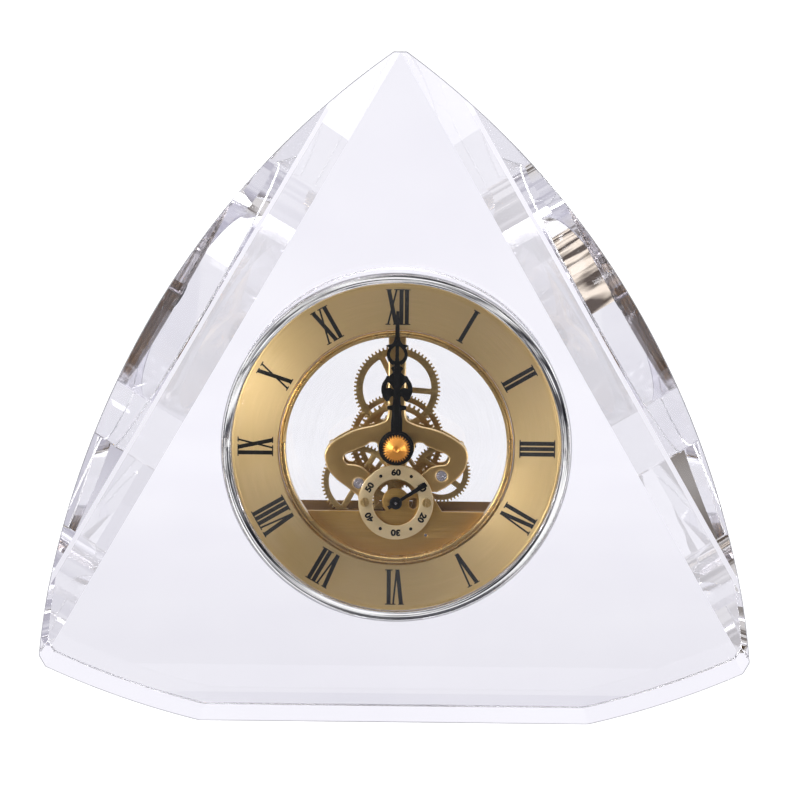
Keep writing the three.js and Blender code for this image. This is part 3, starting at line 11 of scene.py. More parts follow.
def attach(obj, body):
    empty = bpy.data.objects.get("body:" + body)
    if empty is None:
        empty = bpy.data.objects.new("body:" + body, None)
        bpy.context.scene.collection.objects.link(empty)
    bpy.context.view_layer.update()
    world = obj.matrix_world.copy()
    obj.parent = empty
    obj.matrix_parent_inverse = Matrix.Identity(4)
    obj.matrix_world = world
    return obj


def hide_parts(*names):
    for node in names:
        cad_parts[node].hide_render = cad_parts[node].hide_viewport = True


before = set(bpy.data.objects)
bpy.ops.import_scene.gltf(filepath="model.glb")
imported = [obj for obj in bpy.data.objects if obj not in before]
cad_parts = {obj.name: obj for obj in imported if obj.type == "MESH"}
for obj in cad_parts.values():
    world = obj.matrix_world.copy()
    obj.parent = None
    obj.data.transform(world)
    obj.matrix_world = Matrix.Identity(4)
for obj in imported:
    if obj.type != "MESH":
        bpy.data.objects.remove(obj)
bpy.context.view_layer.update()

MM = 0.001
TURN = 2 * math.pi
SCENE = bpy.context.scene

# Sizes, in mm. Depths are places along Y, and the front of a piece has the lower one.

DIAL_HEIGHT = 78.8
CENTRE = (0.0, DIAL_HEIGHT)
SECOND = (0.0, DIAL_HEIGHT - 16.0)

BLOCK_SIDE = 203.0
BLOCK_CURVE = 240.0
BLOCK_FRONT, BLOCK_REAR = -20.0, 20.0
BLOCK_HALF_WIDTH = 101.25
CORNER_HEIGHT = 16.0
CORNER_CUT = 1.3
BEVEL_SLOPE = math.tan(math.radians(40))
FRONT_BEVEL = 8.2
REAR_BEVEL = -0.7
BORE_RADIUS = 49.4
EDGE_CUT = 0.3
INRADIUS = BLOCK_SIDE / (2 * math.sqrt(3))
CORNER_REACH = BLOCK_SIDE / math.sqrt(3)
CURVE_CENTRE_REACH = math.sqrt(BLOCK_CURVE**2 - (BLOCK_SIDE / 2) ** 2) - INRADIUS
MIDDLE_RISE = CORNER_HEIGHT + INRADIUS - DIAL_HEIGHT
SIDE_WAYS = np.radians([30.0, 150.0, 270.0])
CORNER_WAYS = np.radians([-30.0, 90.0, 210.0])
BEVEL_WAYS = np.radians([30.0, 150.0])

SLEEVE_RADIUS, SLEEVE_SEAT, SLEEVE_INNER = 49.1, 46.9, 44.6
SLEEVE_FRONT, SLEEVE_STEP, SLEEVE_REAR = -21.3, -17.35, 10.4
LENS_RADIUS, LENS_EDGE, LENS_RISE, LENS_THICK, LENS_SKIRT = 46.8, -20.8, 6.0, 1.2, 1.6
RING_INNER, RING_OUTER, RING_FRONT, RING_REAR = 33.3, 46.7, -18.4, -17.4
RIM_INNER, RIM_OUTER, RIM_FRONT, RIM_REAR = 31.3, 33.2, -19.1, -14.05


# Shapes.

def grid(x, y, z, close_rows=True, close_columns=True):
    """A surface of two parameters: point (i, j) is (x, y, z)[i, j], and each quad joins rows i, i+1 and
    columns j, j+1, the last of them joined back to the first where that way is closed."""
    x, y, z = np.broadcast_arrays(x, y, z)
    rows, columns = x.shape
    index = np.arange(rows * columns).reshape(rows, columns)
    if close_rows:
        index = np.vstack([index, index[:1]])
    if close_columns:
        index = np.hstack([index, index[:, :1]])
    quads = np.stack([index[:-1, :-1], index[:-1, 1:], index[1:, 1:], index[1:, :-1]], -1)
    return np.stack([x, y, z], -1).reshape(-1, 3), quads.reshape(-1, 4).tolist()


def rounded(points, radius, steps=3, closed=True):
    """An outline with each corner rounded: the corner P becomes the curve (1-t)^2 A + 2t(1-t) P + t^2 B,
    where A and B lie at most radius from P along its two edges, and short of their middles."""
    p = np.asarray(points, float)
    before, after = np.roll(p, 1, 0) - p, np.roll(p, -1, 0) - p
    if not closed:
        before[0] = after[-1] = after[0] = before[-1] = 0
    lb, la = np.linalg.norm(before, axis=1), np.linalg.norm(after, axis=1)
    a = p + before * (np.minimum(radius, lb / 2.2) / np.maximum(lb, 1e-9))[:, None]
    b = p + after * (np.minimum(radius, la / 2.2) / np.maximum(la, 1e-9))[:, None]
    t = np.linspace(0, 1, steps + 1)[None, :, None]
    made = (1 - t) ** 2 * a[:, None] + 2 * t * (1 - t) * p[:, None] + t**2 * b[:, None]
    made = made.reshape(-1, p.shape[1])
    return made if closed else made[steps : len(made) - steps]


def smooth(points, steps=6, closed=False):
    """The Catmull-Rom curve through the given points: between P1 and P2 it is half of
    2 P1 + (P2-P0) t + (2 P0 - 5 P1 + 4 P2 - P3) t^2 + (3 P1 - P0 - 3 P2 + P3) t^3."""
    p = np.asarray(points, float)
    if closed:
        p = np.vstack([p[-1:], p, p[:2]])
    else:
        p = np.vstack([2 * p[0] - p[1], p, 2 * p[-1] - p[-2]])
    a, b, c, d = (p[i : len(p) - 3 + i, None] for i in range(4))
    t = (np.arange(steps) / steps)[None, :, None]
    made = 0.5 * (2 * b + (c - a) * t + (2 * a - 5 * b + 4 * c - d) * t**2 + (3 * b - a - 3 * c + d) * t**3)
    made = made.reshape(-1, 2)
    return made if closed else np.vstack([made, p[-2:-1]])


def circle(at, radius, steps=48, start=0.0, end=TURN):
    """Points on a circle, or on its arc from start to end with both its ends."""
    whole = end - start > TURN - 1e-9
    angle = np.linspace(start, end, steps, endpoint=not whole)
    return np.stack([at[0] + radius * np.cos(angle), at[1] + radius * np.sin(angle)], 1)


def flipped(points):
    """An outline mirrored left to right, in the opposite order."""
    return (np.asarray(points, float) * (-1, 1))[::-1]


def turned(profile, at=CENTRE, steps=192, soft=0.0, flutes=0, deep=0.0):
    """A profile of (radius, depth) turned about the line along Y through at: x = x0 + r cos a,
    z = z0 + r sin a, y = depth. It is closed, or both its ends lie on the line. A third value s of a
    point takes s * deep * (1 - cos(flutes * a)) / 2 off its radius."""
    profile = np.asarray(profile, float)
    closed = profile[0, 0] > 0 or profile[-1, 0] > 0
    if soft:
        profile = rounded(profile, soft, closed=closed)
    angle = np.arange(steps) * TURN / steps
    radius, depth = profile[:, :1], profile[:, 1:2]
    if flutes:
        radius = radius - profile[:, 2:] * deep * (1 - np.cos(flutes * angle)) / 2
    return grid(at[0] + radius * np.cos(angle), depth, at[1] + radius * np.sin(angle), close_rows=closed)


def tube(inner, outer, front, rear, at, steps, soft):
    """A turned ring of rectangular section with softened edges."""
    return turned([(inner, front), (outer, front), (outer, rear), (inner, rear)], at, steps, soft)


def flat(outlines, front, rear, edge=0.05, steps=2):
    """A flat part between two depths, filled between its outlines (x, z), rim and openings, with edges
    rounded by the radius edge inside them."""
    curve = bpy.data.curves.new("outline", "CURVE")
    curve.dimensions = "2D"
    curve.fill_mode = "BOTH"
    curve.extrude = (rear - front) / 2 - edge
    curve.bevel_depth = edge
    curve.bevel_resolution = steps
    curve.offset = -edge
    for points in outlines:
        points = np.asarray(points, float)
        spline = curve.splines.new("POLY")
        spline.points.add(len(points) - 1)
        rows = np.hstack([points, np.zeros((len(points), 1)), np.ones((len(points), 1))])
        spline.points.foreach_set("co", rows.ravel())
        spline.use_cyclic_u = True
    return fetched(curve, (front + rear) / 2)


def listed(items, key, kind, width=1):
    """One value of each of a mesh's vertices, corners or faces, as an array."""
    made = np.empty(len(items) * width, kind)
    items.foreach_get(key, made)
    return made


def fetched(curve, depth):
    """The mesh of a flat curve or text, turned upright: its x, y, z become x, depth - z, z = y."""
    holder = bpy.data.objects.new("outline", curve)
    SCENE.collection.objects.link(holder)
    mesh = bpy.data.meshes.new_from_object(holder.evaluated_get(bpy.context.evaluated_depsgraph_get()))
    co = listed(mesh.vertices, "co", float, 3).reshape(-1, 3)
    faces = [list(p.vertices) for p in mesh.polygons]
    bpy.data.objects.remove(holder)
    bpy.data.curves.remove(curve)
    bpy.data.meshes.remove(mesh)
    return np.stack([co[:, 0], depth - co[:, 2], co[:, 1]], 1), faces


def placed(shell, turn=0.0, at=(0.0, 0.0)):
    """A shell turned clockwise by an angle about the line along Y through the origin, then moved by
    (x, z)."""
    points, faces = shell
    c, s = math.cos(turn), math.sin(turn)
    x, z = points[:, 0], points[:, 2]
    return np.stack([at[0] + x * c + z * s, points[:, 1], at[1] - x * s + z * c], 1), faces


def piece(name, shells, material, body, replaces=(), crease=40, merge=1e-6, second=None,
          second_faces=()):
    """One object from closed shells in mm, smooth up to the crease angle. It sits at the origin and
    rides on a body. A second material may take some faces."""
    points, faces, base = [], [], 0
    for shell_points, shell_faces in shells:
        points.append(shell_points)
        faces += [[base + i for i in face] for face in shell_faces]
        base += len(shell_points)
    mesh = bpy.data.meshes.new(name)
    mesh.from_pydata((np.vstack(points) * MM).tolist(), [], faces)
    if second:
        mesh.polygons.foreach_set("material_index", np.isin(np.arange(len(faces)), second_faces).astype(int))
    work = bmesh.new()
    work.from_mesh(mesh)
    bmesh.ops.remove_doubles(work, verts=work.verts, dist=merge)
    bmesh.ops.recalc_face_normals(work, faces=work.faces)
    work.to_mesh(mesh)
    work.free()
    mesh.shade_smooth()
    mesh.set_sharp_from_angle(angle=math.radians(crease))
    mesh.materials.append(material)
    if second:
        mesh.materials.append(second)
    made = bpy.data.objects.new(name, mesh)
    SCENE.collection.objects.link(made)
    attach(made, body)
    if replaces:
        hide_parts(*replaces)
    return made


# Materials. Pattern scales are features to a metre.

def linear(code):
    """An sRGB hex colour as linear RGBA."""
    value = np.array([int(code[i : i + 2], 16) / 255 for i in (1, 3, 5)])
    value = np.where(value <= 0.04045, value / 12.92, ((value + 0.055) / 1.055) ** 2.4)
    return (*value.tolist(), 1.0)


def add(tree, kind, sockets=None, out=None, **settings):
    """One node with its settings. Its inputs take values, sRGB hex colours or links from other nodes'
    outputs. It gives the output that is asked for, or else the node."""
    node = tree.nodes.new("ShaderNode" + kind)
    for key, value in settings.items():
        setattr(node, key, value)
    for key, value in (sockets or {}).items():
        if isinstance(value, bpy.types.NodeSocket):
            tree.links.new(value, node.inputs[key])
        else:
            node.inputs[key].default_value = linear(value) if isinstance(value, str) else value
    return node if out is None else node.outputs[out]


def blank(name):
    """A new material, and its tree with nothing in it."""
    made = bpy.data.materials.new(name)
    made.use_nodes = True
    made.node_tree.nodes.clear()
    return made, made.node_tree


def shaded(tree, **sockets):
    """Ends a tree with a Principled shader, whose inputs are named with spaces as underscores."""
    sockets = {key.replace("_", " "): value for key, value in sockets.items()}
    shader = add(tree, "BsdfPrincipled", sockets, "BSDF")
    add(tree, "OutputMaterial", {"Surface": shader})


def uneven(tree, scale, detail=2.0, roughness=0.5, stretch=(1.0, 1.0, 1.0), place=None):
    """An uneven tone, 0 to 1, at a scale times stretch along each axis. It lies over the piece's own
    coordinates unless a place is given."""
    place = place or add(tree, "TexCoord", out="Object")
    place = add(tree, "VectorMath", {0: place, 1: stretch}, 0, operation="MULTIPLY")
    sockets = {"Vector": place, "Scale": scale, "Detail": detail, "Roughness": roughness}
    return add(tree, "TexNoise", sockets, "Fac")


def uneven_rings(tree, scale, around, detail=2.0, roughness=0.5):
    """The marks of turning: an uneven tone over (radius * scale, angle * around) about the dial's axis."""
    place = add(tree, "TexCoord", out="Object")
    axis = (CENTRE[0] * MM, 0, CENTRE[1] * MM)
    place = add(tree, "VectorMath", {0: place, 1: axis}, 0, operation="SUBTRACT")
    parts = add(tree, "SeparateXYZ", {0: place}).outputs
    level = add(tree, "CombineXYZ", {"X": parts["X"], "Y": parts["Z"]}, 0)
    radius = add(tree, "VectorMath", {0: level}, "Value", operation="LENGTH")
    angle = add(tree, "Math", {0: parts["Z"], 1: parts["X"]}, 0, operation="ARCTAN2")
    polar = add(tree, "CombineXYZ", {"X": radius, "Y": angle}, 0)
    return uneven(tree, 1.0, detail, roughness, (scale, around, 0.0), polar)


def squareness(tree):
    """How squarely the surface faces along the part's depth: 1 on its flat faces, 0 on its walls."""
    normal = add(tree, "TexCoord", out="Normal")
    across = add(tree, "SeparateXYZ", {0: normal}, "Y")
    return add(tree, "Math", {0: across}, 0, operation="ABSOLUTE")


def between(tree, tone, low, high, start=0.0, end=1.0):
    """A colour that goes from low to high as the tone goes from start to end."""
    share = add(tree, "MapRange", {"Value": tone, "From Min": start, "From Max": end}, "Result")
    return add(tree, "Mix", {"Factor": share, "A": low, "B": high}, "Result", data_type="RGBA")


def finished(tree, colour, grain, strength, depth, **sockets):
    """Ends a tree with a colour and a bump of the grain, depth in metres. A Roughness of two values
    follows the grain from the first to the second."""
    height = {"Height": grain, "Strength": strength, "Distance": depth}
    if isinstance(sockets["Roughness"], tuple):
        spread = {"Value": grain, "To Min": sockets["Roughness"][0], "To Max": sockets["Roughness"][1]}
        sockets["Roughness"] = add(tree, "MapRange", spread, "Result")
    shaded(tree, Base_Color=colour, Normal=add(tree, "Bump", height, "Normal"), **sockets)


def optical_glass():
    """K9 crystal glass, ground and polished: fully clear, IOR 1.517, with the faint waves that polishing
    by hand leaves, 15 mm apart, so that what it refracts bends a little."""
    made, tree = blank("K9 crystal, polished")
    waves = uneven(tree, scale=65.0, detail=1.0)
    colour = between(tree, waves, "#F3F2F9", "#F8F7FD")
    finished(tree, colour, waves, 0.02, 0.0002, Roughness=0.0, IOR=1.517, Transmission_Weight=1.0)
    return made


def ground_glass():
    """The narrow cuts along the block's edges: ground but not polished, so they scatter, with grains drawn
    1 mm wide; their dark grey tint, which drifts over 11 mm, is painted shade for the block's dark edge
    lines."""
    made, tree = blank("K9 crystal, ground edge, painted shade")
    # Painted shade: the dark grey tint stands for the dark lines that the light leaves along the block's
    # edges.
    colour = between(tree, uneven(tree, scale=90.0), "#505058", "#8E8E96")
    grains = uneven(tree, scale=900.0)
    finished(tree, colour, grains, 0.3, 0.00005, Roughness=0.45, IOR=1.517, Transmission_Weight=1.0)
    return made


def clear_acrylic(name, bump=0.004, low="#F9F9FB", high="#FBFBFD", start=0.35, end=0.62, wall="#F9F9FB"):
    """Clear acrylic, IOR 1.49. Its turning, or its mould, left fine rings: 0.45 mm apart on the flat
    faces, as soft streaks from low to high, and 0.8 mm apart along the walls, from wall to high. On the
    sleeve, whose low is near black and whose wall is tan grey, these tones are painted reflection and shade
    over the real rings."""
    made, tree = blank(name)
    streaks = uneven_rings(tree, scale=2300.0, around=0.9)
    face_tone = between(tree, streaks, low, high, start, end)
    wall_tone = between(tree, uneven(tree, scale=1.0, stretch=(0.0, 1200.0, 0.0)), wall, high, 0.4, 0.6)
    colour = between(tree, squareness(tree), wall_tone, face_tone, 0.4, 0.8)
    finished(tree, colour, streaks, bump, 0.0001, Roughness=0.02, IOR=1.49, Transmission_Weight=1.0)
    return made


def brushed_ring():
    """Brass plated champagne gold, brushed round and round: rings of fine scratches, 0.15 mm apart,
    spread the light along the radius, so the dial shows bright and dull sectors."""
    made, tree = blank("champagne gold, circular brushed")
    scratches = uneven_rings(tree, scale=6500.0, around=3.0, detail=3.0, roughness=0.6)
    tone = add(tree, "Math", {0: scratches, 1: uneven(tree, scale=22.0)}, 0, operation="ADD")
    colour = between(tree, tone, "#C6AC76", "#DCC08C", 0.6, 1.4)
    along = add(tree, "Tangent", out="Tangent", direction_type="UV_MAP", uv_map="UVMap")
    looks = {"Metallic": 1.0, "Anisotropic": 0.7, "Anisotropic_Rotation": 0.25, "Tangent": along}
    finished(tree, colour, scratches, 0.15, 0.00003, Roughness=(0.36, 0.46), **looks)
    return made


def plated(name, low, high, roughness, grain, strength=0.2, edges=None):
    """Plated metal: its tone drifts over some 12 mm as plating does, and the grain of the blasting or
    polishing spreads the highlights. Pressed plate may also get a painted highlight: its rounded edges and
    walls are painted brighter."""
    made, tree = blank(name)
    colour = between(tree, uneven(tree, scale=80.0), low, high, 0.3, 0.7)
    if edges:
        # Painted highlight: the faces that turn away from the depth, the rounded edges and walls, are
        # painted brighter.
        colour = between(tree, squareness(tree), edges, colour, 0.75, 0.99)
    fine = uneven(tree, grain, detail=3.0)
    spread = (roughness - 0.06, roughness + 0.08)
    finished(tree, colour, fine, strength, 0.00002, Metallic=1.0, Roughness=spread)
    return made


def brushed(name, low, high, roughness, stretch):
    """Metal brushed one way: scratches long in one direction and 0.2 to 0.4 mm wide across it, finest
    where stretch is largest."""
    made, tree = blank(name)
    scratches = uneven(tree, scale=1.0, detail=3.0, roughness=0.6, stretch=stretch)
    colour = between(tree, scratches, low, high, 0.25, 0.75)
    spread = (roughness - 0.07, roughness + 0.1)
    finished(tree, colour, scratches, 0.2, 0.00003, Metallic=1.0, Roughness=spread)
    return made


def coated(name, low, high, roughness, shine=0.5):
    """Paint, lacquer or moulded plastic: not metal, with a fine grain, drawn 1.4 mm wide, that softens
    its shine."""
    made, tree = blank(name)
    grain = uneven(tree, scale=700.0)
    spread = (roughness - 0.05, roughness + 0.08)
    colour = between(tree, grain, low, high)
    finished(tree, colour, grain, 0.1, 0.00002, Roughness=spread, IOR=1.5, Specular_IOR_Level=shine)
    return made


GLASS = optical_glass()
GROUND = ground_glass()
# The sleeve's black to white streaks and tan grey walls are painted reflection and shade of its
# surroundings.
SLEEVE = clear_acrylic("acrylic sleeve, turned, painted reflections", 0.084, "#17171C", "#FFFFFF", 0.45, 0.54, "#A8A098")
LENS = clear_acrylic("acrylic lens, moulded")
COVER = clear_acrylic("acrylic rear cover, moulded")
DIAL = brushed_ring()
RIM = plated("gold rim, polished", "#AE925C", "#C2A672", 0.26, 90.0, strength=0.02)
# Its bright edges are a painted highlight.
PLATE = plated("brass plate, pressed and gilt", "#AE8E58", "#CFAA70", 0.3, 1500.0, edges="#F4DCA8")
BOX_GOLD = brushed("battery box front, brushed gilt", "#AF8B4E", "#C29C5A", 0.33, (90.0, 400.0, 5200.0))
BRASS = brushed("wheel brass, turned and brushed", "#A88C5A", "#CEB078", 0.3, (2600.0, 400.0, 2600.0))
PALE_GOLD = plated("seconds dial, satin champagne", "#CDB68A", "#DBC79E", 0.4, 1500.0)
NUT = plated("hand nut, polished gilt", "#B87630", "#D49444", 0.42, 1200.0, strength=0.06)
STEEL = plated("steel bush, polished", "#BDBAC2", "#DAD8DC", 0.2, 1500.0, strength=0.08)
BLACK = coated("black lacquer on steel", "#020203", "#050506", 0.36, shine=0.15)
INK = coated("black printing ink", "#040405", "#09090B", 0.5, shine=0.15)
BLACK_PLASTIC = coated("black ABS, moulded", "#0E0E10", "#17171A", 0.38)
BROWN_PLASTIC = coated("box plastic, bronze lacquered", "#64492A", "#765733", 0.6, shine=0.0)
BOARD = coated("circuit board, green solder mask", "#1E5A38", "#2A6E46", 0.4)
RESIN = coated("black epoxy resin", "#101012", "#18181B", 0.3)
COPPER = brushed("enamelled copper wire", "#8E4A1E", "#C07236", 0.28, (5200.0, 300.0, 300.0))
WRAP = coated("battery wrap, printed film", "#2E3238", "#454A52", 0.35)
WHITE = coated("white acetal, moulded", "#DEDDD8", "#ECEBE6", 0.4)
MAGNET = coated("sintered magnet, plain", "#5A5A60", "#74747B", 0.45)

# The nodes that are shown as they are.
NODE_FINISHES = [
    (COVER, "rear_cover"),
    (BROWN_PLASTIC, "battery_door box_body"),
    (WRAP, "battery_cell"),
    (STEEL, "contact_positive contact_negative quartz_can stator third_pinion seconds_arbor display_arbor"),
    (STEEL, "rotor_arbor setting_stem"),
    (BOARD, "circuit_board"),
    (RESIN, "circuit_chip"),
    (COPPER, "coil"),
    (BRASS, "motor_bridge cannon_pinion minute_pinion"),
    (WHITE, "step_pinion"),
    (MAGNET, "rotor_magnet"),
]
for finish, nodes in NODE_FINISHES:
    for node in nodes.split():
        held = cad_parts[node]
        held.data.materials.clear()
        held.data.materials.append(finish)

# Nodes whose loose triangles are welded, and how far their edges are rounded, in mm.
EDGE_WIDTHS = {
    "box_body": 0.15, "battery_door": 0.15, "circuit_board": 0.08, "circuit_chip": 0.1, "stator": 0.06,
    "motor_bridge": 0.06, "battery_cell": 0.2, "contact_positive": 0.05, "contact_negative": 0.0,
    "quartz_can": 0.15,
}
for node, width in EDGE_WIDTHS.items():
    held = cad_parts[node]
    weld = held.modifiers.new("weld", "WELD")
    weld.merge_threshold = 2e-6
    if width:
        edge = held.modifiers.new("edge", "BEVEL")
        edge.width = width * MM
        edge.segments = 2
        edge.limit_method = "ANGLE"
        edge.angle_limit = math.radians(30)
        edge.harden_normals = False


# The glass block. Angles and reaches are about the dial's centre.

FAR = 1e9
LEAST_FACING = 0.05
BLOCK_STEPS, SEARCH_STEPS = 480, 40001
LEAST_TURN = 2e-5
# The sine of the direction below which the rear edge is cut, the way it takes, and its least share.
BASE_CUT_TOP, BASE_CUT_BLEND, LEAST_CUT = -0.5, 0.03, 0.1
BLOCK_ROWS, CUT_ROWS = 10, (0, 3, 5, 8)
LENS_STEPS = 28


def line_ahead(angle, way, level):
    """How far a straight line lies off in each direction, and FAR where it isn't ahead. It faces the
    direction way, at a distance level from the middle of the triangle between the block's corners."""
    facing = np.cos(angle) * math.cos(way) + np.sin(angle) * math.sin(way)
    reach = (level + MIDDLE_RISE * math.sin(way)) / np.maximum(facing, LEAST_FACING)
    return np.where(facing > LEAST_FACING, reach, FAR)


def block_edge(angle):
    """How far the block's outline lies off in each direction: the least of its three curved sides, of
    radius BLOCK_CURVE, its three corner flats, its half width and its base."""
    c, s = np.cos(angle), np.sin(angle)
    reach = BLOCK_HALF_WIDTH / np.maximum(np.abs(c), LEAST_FACING)
    reach = np.minimum(reach, DIAL_HEIGHT / np.maximum(-s, LEAST_FACING))
    for way in SIDE_WAYS:
        x, z = -CURVE_CENTRE_REACH * math.cos(way), MIDDLE_RISE - CURVE_CENTRE_REACH * math.sin(way)
        along = c * x + s * z
        reach = np.minimum(reach, along + np.sqrt(along**2 - x**2 - z**2 + BLOCK_CURVE**2))
    for way in CORNER_WAYS:
        reach = np.minimum(reach, line_ahead(angle, way, CORNER_REACH - CORNER_CUT))
    return reach


def bevel_edge(angle, offset):
    """How far a bevel's edge lies off: the nearer of the two straight lines that run offset outside the
    sides of the triangle between the corners."""
    return np.minimum(*[line_ahead(angle, way, INRADIUS + offset) for way in BEVEL_WAYS])


def bevel_depth(angle, reach, offset):
    """How deep a bevel has come at a reach: 0 up to its edge, then BEVEL_SLOPE times the way past it."""
    past = [reach * np.cos(angle - way) - MIDDLE_RISE * math.sin(way) - INRADIUS for way in BEVEL_WAYS]
    return BEVEL_SLOPE * np.maximum(np.maximum(*past) - offset, 0)


def crossings(angle, value):
    """The angles at which a value changes sign, found by straight interpolation."""
    at = np.nonzero(value[:-1] * value[1:] < 0)[0]
    return angle[at] - value[at] * (angle[at + 1] - angle[at]) / (value[at + 1] - value[at])


def block_angles():
    """Even steps, and between them the directions in which the outline bends or a bevel's edge meets it."""
    fine = np.linspace(0, TURN, SEARCH_STEPS)
    outline = block_edge(fine)
    meetings = [crossings(fine, bevel_edge(fine, bevel) - outline) for bevel in (FRONT_BEVEL, REAR_BEVEL)]
    bends = fine[1:-1][np.abs(np.diff(np.log(outline), 2)) > LEAST_TURN]
    even = np.arange(0, TURN, TURN / BLOCK_STEPS)
    angle = np.unique(np.concatenate([even, *meetings, bends, [TURN / 4]]))
    return angle[np.concatenate([[True], np.diff(angle) > LEAST_TURN])]


def block_shell():
    """The block as rings of points, at centre + reach * (cos a, sin a): bore, front face, bevel, side,
    bevel, rear face and bore again. EDGE_CUT takes off the bore's edges and the side's front edge, and
    the side's rear edge along the base only. Elsewhere that edge is cut by a tenth of it."""
    angle = block_angles()
    edge = block_edge(angle)
    inner = edge - EDGE_CUT
    rear_cut = EDGE_CUT * np.clip((BASE_CUT_TOP - np.sin(angle)) / BASE_CUT_BLEND, LEAST_CUT, 1)
    rear_inner = edge - rear_cut
    bore = np.full(angle.shape, BORE_RADIUS)
    rows = [
        (bore, BLOCK_FRONT + EDGE_CUT),
        (bore + EDGE_CUT, BLOCK_FRONT),
        (np.minimum(bevel_edge(angle, FRONT_BEVEL), inner), BLOCK_FRONT),
        (inner, BLOCK_FRONT + bevel_depth(angle, inner, FRONT_BEVEL)),
        (edge, BLOCK_FRONT + EDGE_CUT + bevel_depth(angle, edge, FRONT_BEVEL)),
        (edge, BLOCK_REAR - rear_cut - bevel_depth(angle, edge, REAR_BEVEL)),
        (rear_inner, BLOCK_REAR - bevel_depth(angle, rear_inner, REAR_BEVEL)),
        (np.minimum(bevel_edge(angle, REAR_BEVEL), rear_inner), BLOCK_REAR),
        (bore + EDGE_CUT, BLOCK_REAR),
        (bore, BLOCK_REAR - EDGE_CUT),
    ]
    reach = np.stack([r for r, _ in rows])
    depth = np.stack([np.broadcast_to(y, angle.shape) for _, y in rows])
    return grid(reach * np.cos(angle), depth, DIAL_HEIGHT + reach * np.sin(angle))


block_points, block_faces = block_shell()
columns = len(block_faces) // BLOCK_ROWS
block = piece(
    "crystal_body", [(block_points, block_faces)], GLASS, "case", ["crystal_block"], crease=12,
    merge=2e-6, second=GROUND, second_faces=[row * columns + k for row in CUT_ROWS for k in range(columns)],
)
sleeve_profile = [
    (SLEEVE_SEAT, SLEEVE_FRONT), (SLEEVE_RADIUS, SLEEVE_FRONT), (SLEEVE_RADIUS, SLEEVE_REAR),
    (SLEEVE_INNER, SLEEVE_REAR), (SLEEVE_INNER, SLEEVE_STEP), (SLEEVE_SEAT, SLEEVE_STEP),
]
sleeve = piece(
    "sleeve_turned", [turned(sleeve_profile, soft=0.25)], SLEEVE, "case", ["case_sleeve"],
    crease=50,
)


def lens_shell():
    """The lens as a surface of revolution: a flat skirt, then a dome that is part of a sphere and rises
    LENS_RISE at its middle, and the same curve again LENS_THICK behind it."""
    inner = LENS_RADIUS - LENS_SKIRT
    curve = (inner**2 + LENS_RISE**2) / (2 * LENS_RISE)
    radius = inner * np.sin(np.linspace(0, math.pi / 2, LENS_STEPS))
    rise = np.sqrt(curve**2 - radius**2) - (curve - LENS_RISE)
    front = [*zip(radius, LENS_EDGE - rise), (LENS_RADIUS, LENS_EDGE)]
    return turned(front + [(r, y + LENS_THICK) for r, y in front[::-1]])


lens = piece("lens_moulded", [lens_shell()], LENS, "case", ["front_lens"], crease=25)
for clear in (block, sleeve, lens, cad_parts["rear_cover"]):
    clear.visible_shadow = False


# The dial.

UV_RADIUS = 50
# The cuts and the groove of the ring and the rim, as grooved takes them.
RING_CUTS, RING_GROOVE = ((0.3, 0.5), (0.35, 0.4)), (45.95, 0.1, 0.12)
RIM_CUTS, RIM_GROOVE = ((0.35, 0.25), (0.4, 0.8)), (32.3, 0.25, 0.5)


def grooved(inner, outer, front, rear, cuts, groove, soft):
    """A turned ring with a groove in its front, given as (radius, half width, depth). The inner and the
    outer edge of its front are cut by (width, depth)."""
    (inner_wide, inner_deep), (outer_wide, outer_deep) = cuts
    middle, half, deep = groove
    profile = [
        (inner, front + inner_deep), (inner + inner_wide, front), (middle - half, front),
        (middle, front + deep), (middle + half, front), (outer - outer_wide, front),
        (outer, front + outer_deep), (outer, rear), (inner, rear),
    ]
    return turned(profile, steps=256, soft=soft)


def with_rings(made):
    """A UV map about the dial's axis: U is the angle in turns, which no face jumps back along, and V the
    radius, 1 at UV_RADIUS."""
    mesh = made.data
    layer = mesh.uv_layers.new(name="UVMap")
    place = listed(mesh.vertices, "co", float, 3).reshape(-1, 3)
    place = place[listed(mesh.loops, "vertex_index", int)] / MM
    x, z = place[:, 0] - CENTRE[0], place[:, 2] - CENTRE[1]
    angle = np.arctan2(z, x) / TURN
    first, count = listed(mesh.polygons, "loop_start", int), listed(mesh.polygons, "loop_total", int)
    angle += np.round(np.repeat(angle[first], count) - angle)
    layer.data.foreach_set("uv", np.stack([angle, np.hypot(x, z) / UV_RADIUS], 1).ravel())


ring = grooved(RING_INNER, RING_OUTER, RING_FRONT, RING_REAR, RING_CUTS, RING_GROOVE, soft=0.06)
with_rings(piece("dial_brushed", [ring], DIAL, "case", ["dial_ring"]))
ring = grooved(RIM_INNER, RIM_OUTER, RIM_FRONT, RIM_REAR, RIM_CUTS, RIM_GROOVE, soft=0.12)
piece("rim_polished", [ring], RIM, "case", ["dial_rim"])

NUMERAL_INNER, NUMERAL_OUTER = 34.8, 44.9
STROKE, HAIR, SERIF, SERIF_REACH = 1.16, 0.52, 0.32, 0.45
STROKE_INSET, NARROW_STROKE = 0.05, 0.7 * STROKE
V_POINTS, V_INSETS, X_INSETS = (0.1, 0.3), (0.7, 0.5), (0.75, 0.6)
INK_FRONT, INK_REAR = RING_FRONT - 0.05, RING_FRONT + 0.02
# Strokes that cross lie at different heights.
INK_STEP, INK_LEVELS = 0.004, 5
LETTER_WIDTH = {"I": 1.52, "V": 3.5, "X": 3.6}


def bar(x_low, x_high, z_low, z_high, width):
    """A straight stroke with level ends."""
    return [(x_low - width / 2, z_low), (x_low + width / 2, z_low),
            (x_high + width / 2, z_high), (x_high - width / 2, z_high)]


def foot(x, z, width):
    """A thin level foot that reaches past a stroke on both sides."""
    return bar(x, x, z - SERIF / 2, z + SERIF / 2, width + 2 * SERIF_REACH)


